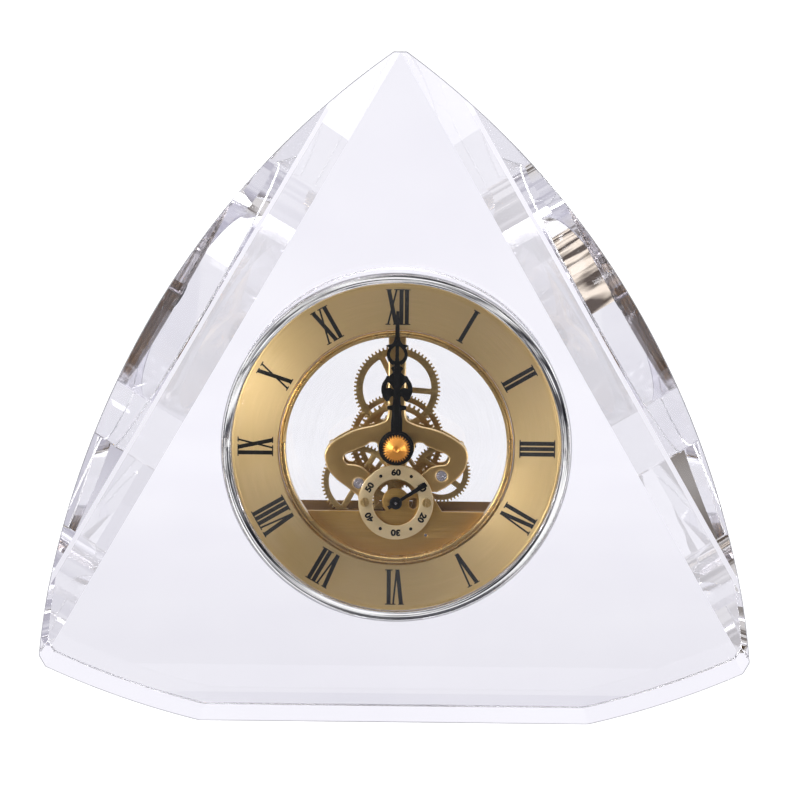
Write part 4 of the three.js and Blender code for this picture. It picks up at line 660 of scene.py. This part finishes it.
def letter(kind):
    """A serif capital I, V or X as closed outlines about the middle of its foot: a heavy stroke, a light
    one and thin feet."""
    height = NUMERAL_OUTER - NUMERAL_INNER
    half = LETTER_WIDTH[kind] / 2
    low, high = SERIF / 2, height - SERIF / 2
    start, end = STROKE_INSET, height - STROKE_INSET
    if kind == "I":
        return [bar(0, 0, start, end, STROKE), foot(0, low, STROKE), foot(0, high, STROKE)]
    if kind == "V":
        left, right = V_INSETS[0] - half, half - V_INSETS[1]
        heavy, light = bar(V_POINTS[0], left, 0.0, end, STROKE), bar(V_POINTS[1], right, 0.0, end, HAIR)
        return [heavy, light, foot(left, high, NARROW_STROKE), foot(right, high, HAIR)]
    far, near = half - X_INSETS[0], half - X_INSETS[1]
    heavy, light = bar(far, -far, start, end, STROKE), bar(-near, near, start, end, HAIR)
    return [heavy, light, foot(-far, high, NARROW_STROKE), foot(near, high, HAIR),
            foot(far, low, NARROW_STROKE), foot(-near, low, HAIR)]


def numeral(text):
    """The outlines of a Roman numeral, centred, with its letters side by side."""
    widths = [LETTER_WIDTH[kind] for kind in text]
    x = -sum(widths) / 2
    made = []
    for kind, width in zip(text, widths):
        made += [np.asarray(outline) + (x + width / 2, NUMERAL_INNER) for outline in letter(kind)]
        x += width
    return made


for hour, text in enumerate("XII I II III IV V VI VII VIII IX X XI".split()):
    shells = []
    for k, outline in enumerate(numeral(text)):
        front = INK_FRONT - INK_STEP * (k % INK_LEVELS)
        shells.append(placed(flat([outline], front, INK_REAR, edge=0.01, steps=0), TURN * hour / 12, CENTRE))
    piece("numeral_%s" % text, shells, INK, "case", crease=30)


# The movement: plates, wheels, screws and the seconds dial. Outlines are about the dial's centre.

PLATE_FRONT, REAR_PLATE_FRONT, PLATE_THICK, REAR_DROP, TONGUE_INSET = -14.0, 1.0, 1.2, 0.9, 0.02
STRUT_HALF_WIDTH, STRUT_TOP, REAR_STRUT_TOP = 2.5, 33.0, 31.6
SECOND_Z, ARCH_RADIUS = -16.0, 8.2
ARCH_START, ARCH_END, REAR_ARCH_END = math.radians(20.6), math.radians(190.7), math.radians(159.4)
SECOND_AT, MOTION_AT = (0.0, SECOND_Z), (0.0, 15.2)
THIRD, DISPLAY = (-10.663591, -10.831797), (12.9, -8.5)
STEP, ROTOR = (2.783757, -23.648310), (8.575691, -25.530224)
SCREW_LEFT, SCREW_RIGHT = (-8.8, SECOND_Z), (8.8, SECOND_Z)
PIVOT_HOLE, MOTION_HOLE, BUSH_HOLE, SCREW_HOLE, SECONDS_HOLE = 0.45, 0.5, 1.52, 0.7, 0.85
CENTRE_HOLE, REAR_CENTRE_HOLE = 3.32, 1.05
PLATE_SIDE = [
    (2.5, 9.3), (2.7, 8.1), (3.6, 6.9), (6.7, 5.75), (10.4, 4.9), (13.6, 3.7), (16.9, 1.85), (19.3, -0.1),
    (20.35, -2.2), (20.2, -4.6), (19.2, -7.2), (17, -9.7), (14.1, -11.9),
]
PLATE_WINDOW = [
    (5.6, 0.6), (7.4, 0.8), (8.7, -0.1), (11.7, -1.4), (14.2, -2.4), (14.85, -3.7), (13.9, -5.2),
    (11.7, -5.5), (9.6, -6.2), (7.4, -8), (7, -8.6), (5, -7.3), (2.9, -6.4), (3.1, -5), (3.9, -3.8),
    (5, -1.6),
]
LOBE_FOOT, LEFT_FOOT = (11.7, -13.2), [(10.9, -14.4), (10.2, -17.2), (8.8, -17.8)]
TONGUE = [(-1.7, -17.8), (1.7, -17.8), (1.7, -7.0), (-1.7, -7.0)]
BOX_TOP, BOX_RADIUS = -18.75, 44.3
BRACKET = [(13.15, BOX_TOP), (10.6, -14.6), (9.6, -13.6)]
BOSS_RADIUS, BOSS_RIGHT, BOSS_LEFT = 3.9, 2.4, 2.75
KEYHOLE_X, KEYHOLE_TOP, KEYHOLE_BASE, KEYHOLE_RADIUS = 4.9, -15.8, -17.0, 1.1


def at_dial(outlines):
    """Outlines about the dial's centre, moved to it."""
    return [np.asarray(outline, float) + (0, DIAL_HEIGHT) for outline in outlines]


def on_dial(point):
    """A point about the dial's centre, as a place in the frame."""
    return (point[0], point[1] + DIAL_HEIGHT)


def plate_outline(top, drop, arch_end, left_foot=None):
    """A plate's outline: strut, right lobe, the arch over the seconds shaft, and the left lobe. The lobes
    are lowered by drop, and the left one ends as the right one does unless it has a foot of its own."""
    strut = (STRUT_HALF_WIDTH, top)
    side = smooth(PLATE_SIDE, 8) - (0, drop)
    right_foot = (LOBE_FOOT[0], LOBE_FOOT[1] - drop)
    arch = circle(SECOND_AT, ARCH_RADIUS, 40, ARCH_START, arch_end)
    left = np.vstack([strut, side, left_foot or right_foot])
    return np.vstack([strut, side, right_foot, arch, flipped(left)])


window = smooth(PLATE_WINDOW, 6, closed=True)
outlines = [
    plate_outline(STRUT_TOP, 0.0, ARCH_END, LEFT_FOOT), window, flipped(window), circle((0, 0), CENTRE_HOLE),
    circle(MOTION_AT, MOTION_HOLE, 24), circle(THIRD, BUSH_HOLE, 32), circle(DISPLAY, BUSH_HOLE, 32),
    circle(SCREW_LEFT, SCREW_HOLE, 24),
]
shell = flat(at_dial(outlines), PLATE_FRONT, PLATE_FRONT + PLATE_THICK, 0.5, 4)
piece("plate_front_gilt", [shell], PLATE, "case", ["front_plate"], crease=50)

lower = window - (0, REAR_DROP)
outlines = [
    plate_outline(REAR_STRUT_TOP, REAR_DROP, REAR_ARCH_END), lower, flipped(lower),
    circle((0, 0), REAR_CENTRE_HOLE, 24), circle(MOTION_AT, MOTION_HOLE, 24),
    circle(THIRD, PIVOT_HOLE, 24), circle(DISPLAY, PIVOT_HOLE, 24),
]
rear = REAR_PLATE_FRONT + PLATE_THICK
shell = flat(at_dial(outlines), REAR_PLATE_FRONT, rear, 0.25, 3)
outlines = at_dial([TONGUE, circle(SECOND_AT, PIVOT_HOLE, 24)])
tongue = flat(outlines, REAR_PLATE_FRONT + TONGUE_INSET, rear - TONGUE_INSET, 0.2, 2)
piece("plate_rear_gilt", [shell, tongue], PLATE, "case", ["rear_plate"], crease=50)

slope = math.asin(-BOX_TOP / BOX_RADIUS)
segment = circle((0, 0), BOX_RADIUS, 120, math.pi + slope, TURN - slope)
boss_ends = (math.asin(BOSS_RIGHT / BOSS_RADIUS), math.pi + math.asin(BOSS_LEFT / BOSS_RADIUS))
boss = circle(SECOND_AT, BOSS_RADIUS, 40, *boss_ends)
keyhole = np.vstack([
    circle((KEYHOLE_X, KEYHOLE_TOP), KEYHOLE_RADIUS, 20, 0.0, math.pi),
    circle((KEYHOLE_X, KEYHOLE_BASE), KEYHOLE_RADIUS, 20, math.pi, TURN),
])
outlines = [
    np.vstack([segment, BRACKET, boss]), keyhole, circle(SECOND_AT, SECONDS_HOLE, 24),
    circle(SCREW_RIGHT, SCREW_HOLE, 24), circle(STEP, PIVOT_HOLE, 20), circle(ROTOR, PIVOT_HOLE, 20),
]
shell = flat(at_dial(outlines), PLATE_FRONT, PLATE_FRONT + PLATE_THICK, 0.2, 3)
piece("box_front_brushed", [shell], BOX_GOLD, "case", ["box_front"], crease=50)

# A tooth's corners, as (share of the tooth's size past the pitch circle, share of the pitch).
ROOT = 1.15
TOOTH = np.array([
    (-ROOT, -0.26), (-0.35, -0.235), (0.25, -0.19), (0.72, -0.12), (0.8, -0.08),
    (0.8, 0.08), (0.72, 0.12), (0.25, 0.19), (-0.35, 0.235), (-ROOT, 0.26),
])
SPOKE_SOFT = 0.35
SHAFT_FIT, COLLAR_WIDTH, COLLAR_PROUD, HUB_WIDTH = 0.02, 0.95, 0.2, 1.4


def gear(teeth, size, phase):
    """A gear's outline about its shaft: tooth n has its corners at the radius size * (teeth / 2 + c) and
    the angle phase + 2 pi (n + s) / teeth, for each (c, s) of TOOTH."""
    pitch, radius = TURN / teeth, size * teeth / 2
    angle = phase + (np.arange(teeth)[:, None] + TOOTH[:, 1]) * pitch
    reach = radius + TOOTH[:, 0] * size
    return np.stack([reach * np.cos(angle), reach * np.sin(angle)], -1).reshape(-1, 2)


def meshed(a, teeth_a, b, teeth_b):
    """The phase that puts gear b in mesh with gear a, whose own phase is 0."""
    toward = math.atan2(b[1] - a[1], b[0] - a[0])
    return toward + math.pi + TURN / teeth_b * (0.5 + toward * teeth_a / TURN)


def openings(inner, outer, spokes, first, width):
    """The openings between a wheel's spokes, with rounded corners."""
    lean_out, lean_in = math.asin(width / 2 / outer), math.asin(width / 2 / inner)
    made = []
    for k in range(spokes):
        start, end = first + k * TURN / spokes, first + (k + 1) * TURN / spokes
        far = circle((0, 0), outer, 18, start + lean_out, end - lean_out)
        near = circle((0, 0), inner, 10, start + lean_in, end - lean_in)[::-1]
        made.append(rounded(np.vstack([far, near]), SPOKE_SOFT))
    return made


def wheel(name, body, at, teeth, size, phase, shaft, front, spokes, first, rim, width, thick=0.9,
          finish=BRASS, extra=()):
    """A spoked wheel with its teeth, rounded spokes and a collar around its shaft, in place of its node."""
    bore, root = shaft + SHAFT_FIT, size * teeth / 2 - ROOT * size
    outlines = [gear(teeth, size, phase)]
    outlines += openings(shaft + HUB_WIDTH, root - rim, spokes, math.radians(first), width)
    outlines.append(circle((0, 0), bore, 32))
    at, rear = on_dial(at), front + thick
    plain = placed(flat(outlines, front, rear, 0.05, 1), 0.0, at)
    collar = tube(bore, shaft + COLLAR_WIDTH, front - COLLAR_PROUD, rear + COLLAR_PROUD, at, 32, 0.1)
    piece(name + "_cut", [plain, collar, *extra], finish, body, [name], crease=35)


MINUTE_SIZE, HOUR_SIZE, CENTRE_SIZE = 30.4 / 80, 30.4 / 64, 30.4 / 90
THIRD_SIZE, SECOND_SIZE, STEP_SIZE = 23.7 / 68, 2 * math.dist(SECOND_AT, DISPLAY) / 88, 0.29
minute_phase = meshed((0, 0), 16, MOTION_AT, 64)
hour_phase = meshed(MOTION_AT, 16, (0, 0), 48)
third_phase = meshed(SECOND_AT, 8, THIRD, 60)
centre_phase = meshed(THIRD, 10, (0, 0), 80)
display_phase = meshed(SECOND_AT, 40, DISPLAY, 48)
# Name, body, place, teeth, size and phase; shaft's radius, front, spokes and the first one's angle in
# degrees, and the widths of rim and spoke.
wheel("minute_wheel", "motion_group", MOTION_AT, 64, MINUTE_SIZE, minute_phase, 0.7, -3.5, 3, -4, 1.9, 1.6)
wheel("hour_wheel", "hour_group", (0, 0), 48, HOUR_SIZE, hour_phase, 1.45, -5.6, 5, 90, 1.5, 1.0,
      extra=[tube(1.45, 2.1, -19.6, -4.7, CENTRE, 48, 0.1)])
wheel("centre_wheel", "centre_group", (0, 0), 80, CENTRE_SIZE, centre_phase, 1.3, -1.4, 5, 90, 1.5, 1.0)
wheel("third_wheel", "third_group", THIRD, 60, THIRD_SIZE, third_phase, 0.7, -9.4, 4, 60, 1.5, 1.6)
wheel("seconds_wheel", "seconds_group", SECOND_AT, 40, SECOND_SIZE, 0.0, 0.7, -7.4, 4, 0, 1.5, 1.0)
wheel("display_wheel", "display_group", DISPLAY, 48, SECOND_SIZE, display_phase, 0.7, -7.4, 4, -36, 1.5, 1.6)
wheel("step_wheel", "step_group", STEP, 36, STEP_SIZE, 0.0, 0.7, -5.6, 3, 90, 1.0, 1.0, 0.8, WHITE)

# Each screw: a head in two halves beside its slot, and a turned foot and shank.
SCREW_FRONT, SCREW_END, HEAD_RADIUS, HEAD_THICK, SHANK_RADIUS = -16.32, -12.8, 1.3, 0.5, 0.6
SLOT_WIDTH, SLOT_DEEP, OVERLAP = 0.5, 0.44, 0.02
floor, rear = SCREW_FRONT + SLOT_DEEP, SCREW_FRONT + HEAD_THICK
lean = math.asin(SLOT_WIDTH / 2 / HEAD_RADIUS)
half = flat([circle((0, 0), HEAD_RADIUS, 24, lean, math.pi - lean)], SCREW_FRONT, floor + OVERLAP, 0.12, 3)
foot_profile = [
    (0, floor), (HEAD_RADIUS, floor), (HEAD_RADIUS, rear), (SHANK_RADIUS, rear), (SHANK_RADIUS, SCREW_END),
    (0, SCREW_END),
]
for name, at, turn in (("dial_screw_left", SCREW_LEFT, 80), ("dial_screw_right", SCREW_RIGHT, 96)):
    at, turn = on_dial(at), math.radians(turn)
    shells = [placed(half, turn, at), placed(half, turn + math.pi, at), turned(foot_profile, at, 32)]
    piece(name + "_slotted", shells, BRASS, "case", [name])

BUSH_PROFILE = [
    (0.42, -14.2), (0.62, -14.2), (0.74, -13.8), (1.02, -13.8), (1.14, -14.2), (1.5, -14.2), (1.5, -12.8),
    (0.42, -12.8),
]
PILLAR_PROFILE = [
    (0, -12.78), (0.9, -12.78), (0.9, -11.6), (0.72, -11.3), (0.72, -0.5), (0.9, -0.2), (0.9, 0.98),
    (0, 0.98),
]
PILLARS = {"pillar_left": (-18.5, -0.9), "pillar_right": (18.5, -0.9), "pillar_top": (0.0, 29.6)}
for name, at in (("bush_left", THIRD), ("bush_right", DISPLAY)):
    bush = turned(BUSH_PROFILE, on_dial(at), 48, 0.06)
    piece(name + "_turned", [bush], STEEL, "case", [name])
bush = tube(2.12, 3.3, -14.5, -12.3, CENTRE, 64, 0.2)
piece("centre_bush_turned", [bush], BLACK, "case", ["centre_bush"])
for name, at in PILLARS.items():
    post = turned(PILLAR_PROFILE, on_dial(at), 32, 0.1)
    piece(name + "_turned", [post], BRASS, "case", [name])

DIGIT_REACH, DIGIT_HEIGHT, DOT_RADIUS = 8.65, 1.95, 0.48
DIGIT_BOLDER, DIGIT_WIDER = 0.055, 1.12
PRINT_FRONT, PRINT_REAR = -15.84, -15.78


def digits(text):
    """Bold digits, centred, as a thin flat part."""
    curve = bpy.data.curves.new("digits", "FONT")
    curve.body = text
    curve.size = 1.0
    curve.extrude = (PRINT_REAR - PRINT_FRONT) / 2
    curve.offset = DIGIT_BOLDER
    curve.resolution_u = 5
    points, faces = fetched(curve, 0.0)
    low, high = points.min(0), points.max(0)
    scale = DIGIT_HEIGHT / (high[2] - low[2])
    middle = (low + high) / 2
    x, z = (points[:, 0] - middle[0]) * scale * DIGIT_WIDER, (points[:, 2] - middle[2]) * scale
    return np.stack([x, points[:, 1] + (PRINT_FRONT + PRINT_REAR) / 2, z], 1), faces


prints = []
for number, text in enumerate("60 10 20 30 40 50".split()):
    points, faces = digits(text)
    prints.append(placed((points + (0, 0, DIGIT_REACH), faces), TURN * number / 6, SECOND))
for second in (5, 25, 35, 55):
    way = TURN * second / 60
    spot = (SECOND[0] + DIGIT_REACH * math.sin(way), SECOND[1] + DIGIT_REACH * math.cos(way))
    prints.append(tube(0.0, DOT_RADIUS, PRINT_FRONT, PRINT_REAR, spot, 24, 0.0))
piece("seconds_print", prints, INK, "case", crease=30)
shells = [tube(6.65, 10.65, -15.8, -15.0, SECOND, 128, 0.14)]
shells += [tube(0.64, 1.4, -15.2, -14.02, on_dial(at), 32, 0.08) for at in (SCREW_LEFT, SCREW_RIGHT)]
piece("seconds_dial_satin", shells, PALE_GOLD, "case", ["seconds_dial"])


# The hands, the nut and the knob. Outlines are about the dial's centre.

HOUR_SIDE = [
    (1.6, 4.7), (1.6, 7.4), (1.35, 10), (1.5, 10.7), (2.4, 10.8), (2.75, 11.4), (2.4, 12), (1.4, 12.1),
    (1.1, 12.7), (1.1, 14.6), (1.8, 14.3), (2.2, 13.4), (2.9, 13.2), (3.7, 14.1), (4.3, 15.5), (4.42, 16.8),
    (4.1, 18.3), (3.3, 19.6), (2.85, 20.4), (2.3, 20.5), (1.2, 21.3), (1.3, 21.9), (1.7, 22.5), (1.3, 23.1),
    (0.8, 23.4), (0.5, 25.6),
]
HOUR_HOLE = [(0.75, 16.5), (2, 17.1), (3.1, 16.8), (3, 17.7), (2.5, 18.7), (1.7, 17.9)]
MINUTE_SIDE = [
    (0.85, 4.2), (0.8, 22.3), (1.1, 23.4), (2.1, 24.3), (2.75, 25.4), (2.95, 26.6), (2.7, 27.8), (2.4, 28.5),
    (3.2, 29), (2.5, 29.35), (1.6, 29.5), (0.95, 30.4), (0.65, 32), (0.6, 34), (0.45, 37), (0.4, 38.8),
]
MINUTE_HOLE = [(0.5, 24.6), (1.4, 25.1), (2, 26), (2.05, 26.9), (1.6, 28), (0.5, 29)]
HAND_THICK = 0.5


def hand(name, hub, side, opening, shaft, front, body):
    """A hand: a round hub, one side up to the tip and the other back down, two openings and its bore."""
    start = math.atan2(side[0][1], side[0][0])
    lower = circle((0, 0), hub, 60, math.pi - start, TURN + start)[1:-1]
    edge = smooth(side, 5)
    hole = rounded(opening, 0.3)
    outlines = [np.vstack([lower, edge, flipped(edge)]), hole, flipped(hole), circle((0, 0), shaft, 48)]
    shell = flat(at_dial(outlines), front, front + HAND_THICK, 0.1, 3)
    piece(name + "_pressed", [shell], BLACK, body, [name])


hand("hour_hand", 5.0, HOUR_SIDE, HOUR_HOLE, 2.12, -19.4, "hour_group")
hand("minute_hand", 4.5, MINUTE_SIDE, MINUTE_HOLE, 1.32, -20.5, "minute_group")

TILT = math.radians(33)
BLADE_SIDE = [(-2.6, 0.55), (-1.3, 0.5), (-0.9, 1.0), (0.9, 1.0), (1.3, 0.45), (7.65, 0.6), (10.2, 0.72)]
BLADE_FRONT, BLADE_REAR, SECONDS_SHAFT = -17.4, -17.0, 0.42
HUB_PROFILE = [(SECONDS_SHAFT, -17.6), (1.25, -17.6), (1.8, -17.45), (1.8, -16.8), (SECONDS_SHAFT, -16.8)]
blade = rounded([(x, -z) for x, z in BLADE_SIDE] + BLADE_SIDE[::-1], 0.15)
shell = flat([blade, circle((0, 0), SECONDS_SHAFT, 24)], BLADE_FRONT, BLADE_REAR, 0.08, 3)
shells = [placed(shell, -TILT, SECOND), turned(HUB_PROFILE, SECOND, 64, 0.12)]
piece("seconds_hand_pressed", shells, BLACK, "seconds_group", ["seconds_hand"])

# Radius, depth and share of the flutes' depth.
NUT_PROFILE = [
    (0.0, -22.8, 0), (0.4, -22.85, 0), (0.8, -23.12, 0), (1.0, -23.18, 0), (1.25, -23.08, 0),
    (1.9, -22.72, 0), (2.7, -22.25, 0), (3.4, -21.95, 0.5), (3.72, -21.9, 1), (3.9, -21.7, 1),
    (3.9, -20.7, 1), (3.75, -20.55, 1), (1.32, -20.55, 0), (1.32, -21.8, 0), (0, -21.8, 0),
]
KNOB_PROFILE = [
    (0, 10.9, 0), (1.02, 10.9, 0), (5.9, 10.9, 0), (6.5, 11.4, 1), (6.5, 15.2, 1), (6.1, 15.75, 0.5),
    (5.2, 15.9, 0), (4.9, 15.6, 0), (0, 15.5, 0),
]
nut = turned(NUT_PROFILE, CENTRE, 420, 0.04, flutes=30, deep=0.75)
piece("hand_nut_knurled", [nut], NUT, "minute_group", ["hand_nut"], crease=32)
knob = turned(KNOB_PROFILE, CENTRE, 360, 0.15, flutes=24, deep=0.5)
piece("setting_knob_fluted", [knob], BLACK_PLASTIC, "minute_group", ["setting_knob"], crease=32)


# Floor, light and camera, in metres.

def lit_paper(name, colour, strength, near=1.0):
    """Studio paper that gives its own even light, tinted a little by its fibres. By the clock its light
    falls to the share near, a painted shade of the block, which makes the low part of the block a little
    greyer, as in the photo."""
    made, tree = blank(name)
    place = add(tree, "TexCoord", out="Object")
    depth = add(tree, "SeparateXYZ", {0: place}, "Y")
    # Painted shade: the paper's glow falls near the clock.
    fall = {"Value": depth, "From Min": 0.04, "From Max": 0.6, "To Min": near * strength, "To Max": strength}
    fall = add(tree, "MapRange", fall, "Result")
    fibres = uneven(tree, scale=6.0)
    light, paper = between(tree, fibres, colour, "#FFFFFF"), between(tree, fibres, "#101010", "#141414")
    shaded(tree, Roughness=0.9, Base_Color=paper, Emission_Color=light, Emission_Strength=fall)
    return made


def patched_card(name, low, high, strength, per_metre):
    """Studio card in large soft patches, lit a little by its own light: printed on the cards, and painted
    shade on the paper beside the block.
    """
    made, tree = blank(name)
    patches = between(tree, uneven(tree, per_metre), low, high, 0.44, 0.56)
    shaded(tree, Roughness=1.0, Base_Color=patches, Emission_Color=patches, Emission_Strength=strength)
    return made


def sheet(name, profile, x_from, x_to, material):
    """A stage sheet: a profile of (depth, height), carried along X between two places."""
    profile = np.asarray(profile, float)
    x = np.array([x_from, x_to])[:, None]
    points, faces = grid(x, profile[None, :, 0], profile[None, :, 1], False, False)
    mesh = bpy.data.meshes.new(name)
    mesh.from_pydata(points.tolist(), [], faces)
    mesh.shade_smooth()
    mesh.materials.append(material)
    made = bpy.data.objects.new(name, mesh)
    SCENE.collection.objects.link(made)
    return made


GROUND_HEIGHT, CARD_HEIGHT, FLOOR_HEIGHT = -0.0003, -0.00015, -0.001
SWEEP_FROM, SWEEP_RADIUS, SWEEP_TOP = 0.9, 0.7, 2.0
PAPER_FRONT, PAPER_JOINT = -0.06, 0.04
ROOM = 5.0

behind = [(PAPER_JOINT, GROUND_HEIGHT), (SWEEP_FROM, GROUND_HEIGHT)]
for a in np.linspace(0, math.pi / 2, 16)[1:]:
    rise = SWEEP_RADIUS - SWEEP_RADIUS * math.cos(a) + GROUND_HEIGHT
    behind.append((SWEEP_FROM + SWEEP_RADIUS * math.sin(a), rise))
behind.append((SWEEP_FROM + SWEEP_RADIUS, SWEEP_TOP))
below = [(PAPER_FRONT, GROUND_HEIGHT), (PAPER_JOINT, GROUND_HEIGHT)]
laid = [(PAPER_FRONT, CARD_HEIGHT), (0.16, CARD_HEIGHT)]
upright = [(-0.25, 0.0), (0.3, 0.0), (0.3, 0.5), (-0.25, 0.5)]
stage = [
    # Painted shade: the paper behind glows less near the block.
    sheet("paper_behind", behind, -0.24, 0.24, lit_paper("paper behind", "#F4F3F7", 1.09, 0.86)),
    sheet("paper_left", behind, -2.6, -0.24, lit_paper("paper on the left", "#F6F5F9", 1.2)),
    sheet("paper_right", behind, 0.24, 2.6, lit_paper("paper on the right", "#FFFFFF", 1.3)),
    # Painted shade: the paper under the block is greyer and glows less.
    sheet("paper_below", below, -0.12, 0.24, lit_paper("paper under the block", "#E2E1E8", 0.95)),
    # Painted shade: the paper beside the block glows less, in grey patches.
    sheet("paper_beside", below, 0.24, 2.6,
          patched_card("paper beside the block", "#D2D0DC", "#F4F2F8", 0.9, 9.0)),
    sheet("card_floor", laid, -0.6, -0.12,
          patched_card("card on the floor, brown", "#33210E", "#DCCFBC", 0.3, 30.0)),
    sheet("card_left", upright, -0.62, -0.6,
          patched_card("card, brown and grey", "#33210E", "#CFC6B8", 0.3, 14.0)),
]
for part in stage:
    part.visible_camera = part.visible_glossy = False
room = [(-ROOM, FLOOR_HEIGHT), (ROOM, FLOOR_HEIGHT), (ROOM, ROOM)]
floor = sheet("floor", room, -ROOM, ROOM, lit_paper("paper, lit evenly", "#FFFFFF", 1.2))
floor.visible_glossy = floor.visible_transmission = floor.visible_diffuse = False

# Large white rectangular lamps: place, target, size and power in watts.
LAMPS = {
    "light_top": ((0.0, -0.5, 1.5), (0, 0.1, 0.1), (1.4, 0.8), 12),
    "light_left": ((-1.15, -1.0, 0.4), (0, 0, 0.1), (0.5, 0.5), 20),
    "light_right": ((1.3, -0.8, 0.1), (0, 0, 0.1), (0.4, 0.6), 8),
}
for name, (place, target, size, power) in LAMPS.items():
    data = bpy.data.lights.new(name, "AREA")
    data.shape = "RECTANGLE"
    data.size, data.size_y = size
    data.energy = power
    lamp = bpy.data.objects.new(name, data)
    SCENE.collection.objects.link(lamp)
    lamp.location = place
    lamp.rotation_euler = (Vector(target) - Vector(place)).to_track_quat("-Z", "Y").to_euler()

# The room's light, by the way it reaches the eye: white when seen straight, darker at the front when
# mirrored, and through the glass with the dark place of the photographer and brown things on the left.
world = bpy.data.worlds.new("studio")
SCENE.world = world
world.use_nodes = True
studio = world.node_tree
path = add(studio, "LightPath").outputs
toward = add(studio, "TexCoord", out="Generated")
ways = add(studio, "SeparateXYZ", {0: toward}).outputs
seen_once = add(studio, "Math", {0: path["Glossy Depth"], 1: 1.0, 2: 0.5}, 0, operation="COMPARE")
front = {"Value": ways["Y"], "From Min": -0.97, "From Max": -0.88, "To Min": 0.1, "To Max": 0.85}
front = add(studio, "MapRange", front, "Result")
through = add(studio, "Mix", {"Factor": seen_once, "A": 0.85, "B": front}, "Result")
mirrored = {"Value": ways["Y"], "From Min": -0.7, "From Max": 0.0, "To Min": 0.11, "To Max": 0.8}
mirrored = add(studio, "MapRange", mirrored, "Result")
level = 0.5
for way, light in (("Is Glossy Ray", mirrored), ("Is Transmission Ray", through), ("Is Camera Ray", 1.2)):
    level = add(studio, "Mix", {"Factor": path[way], "A": level, "B": light}, "Result")
patches = add(studio, "TexNoise", {"Vector": toward, "Scale": 4.0}, "Fac")
warm = between(studio, patches, "#4C3A24", "#F0EDE8", 0.44, 0.56)
cool = between(studio, patches, "#CFCDD8", "#F6F5FA", 0.44, 0.56)
furnished = between(studio, ways["X"], warm, cool, -0.35, -0.15)
colour = between(studio, path["Is Transmission Ray"], "#F6F7FB", furnished)
background = studio.nodes["Background"]
studio.links.new(colour, background.inputs["Color"])
studio.links.new(level, background.inputs["Strength"])

SCENE.view_settings.view_transform = "Standard"
SCENE.cycles.max_bounces = 32
SCENE.cycles.transmission_bounces = 28
SCENE.cycles.glossy_bounces = 24
SCENE.cycles.transparent_max_bounces = 16
SCENE.cycles.caustics_reflective = False

CAMERA_PLACE = (0.00323, -0.978, 0.1893)
CAMERA_PITCH, CAMERA_YAW, CAMERA_ROLL = math.radians(5.77), math.radians(-0.139), math.radians(-0.6)
camera_data = bpy.data.cameras.new("camera")
camera_data.lens = 153.342
camera_data.sensor_width = 36
camera_data.clip_start = 0.01
camera_data.clip_end = 20
camera = bpy.data.objects.new("camera", camera_data)
SCENE.collection.objects.link(camera)
look = Matrix.Rotation(-CAMERA_YAW, 4, "Z") @ Matrix.Rotation(math.pi / 2 - CAMERA_PITCH, 4, "X")
camera.matrix_world = Matrix.Translation(CAMERA_PLACE) @ look @ Matrix.Rotation(-CAMERA_ROLL, 4, "Z")
SCENE.camera = camera
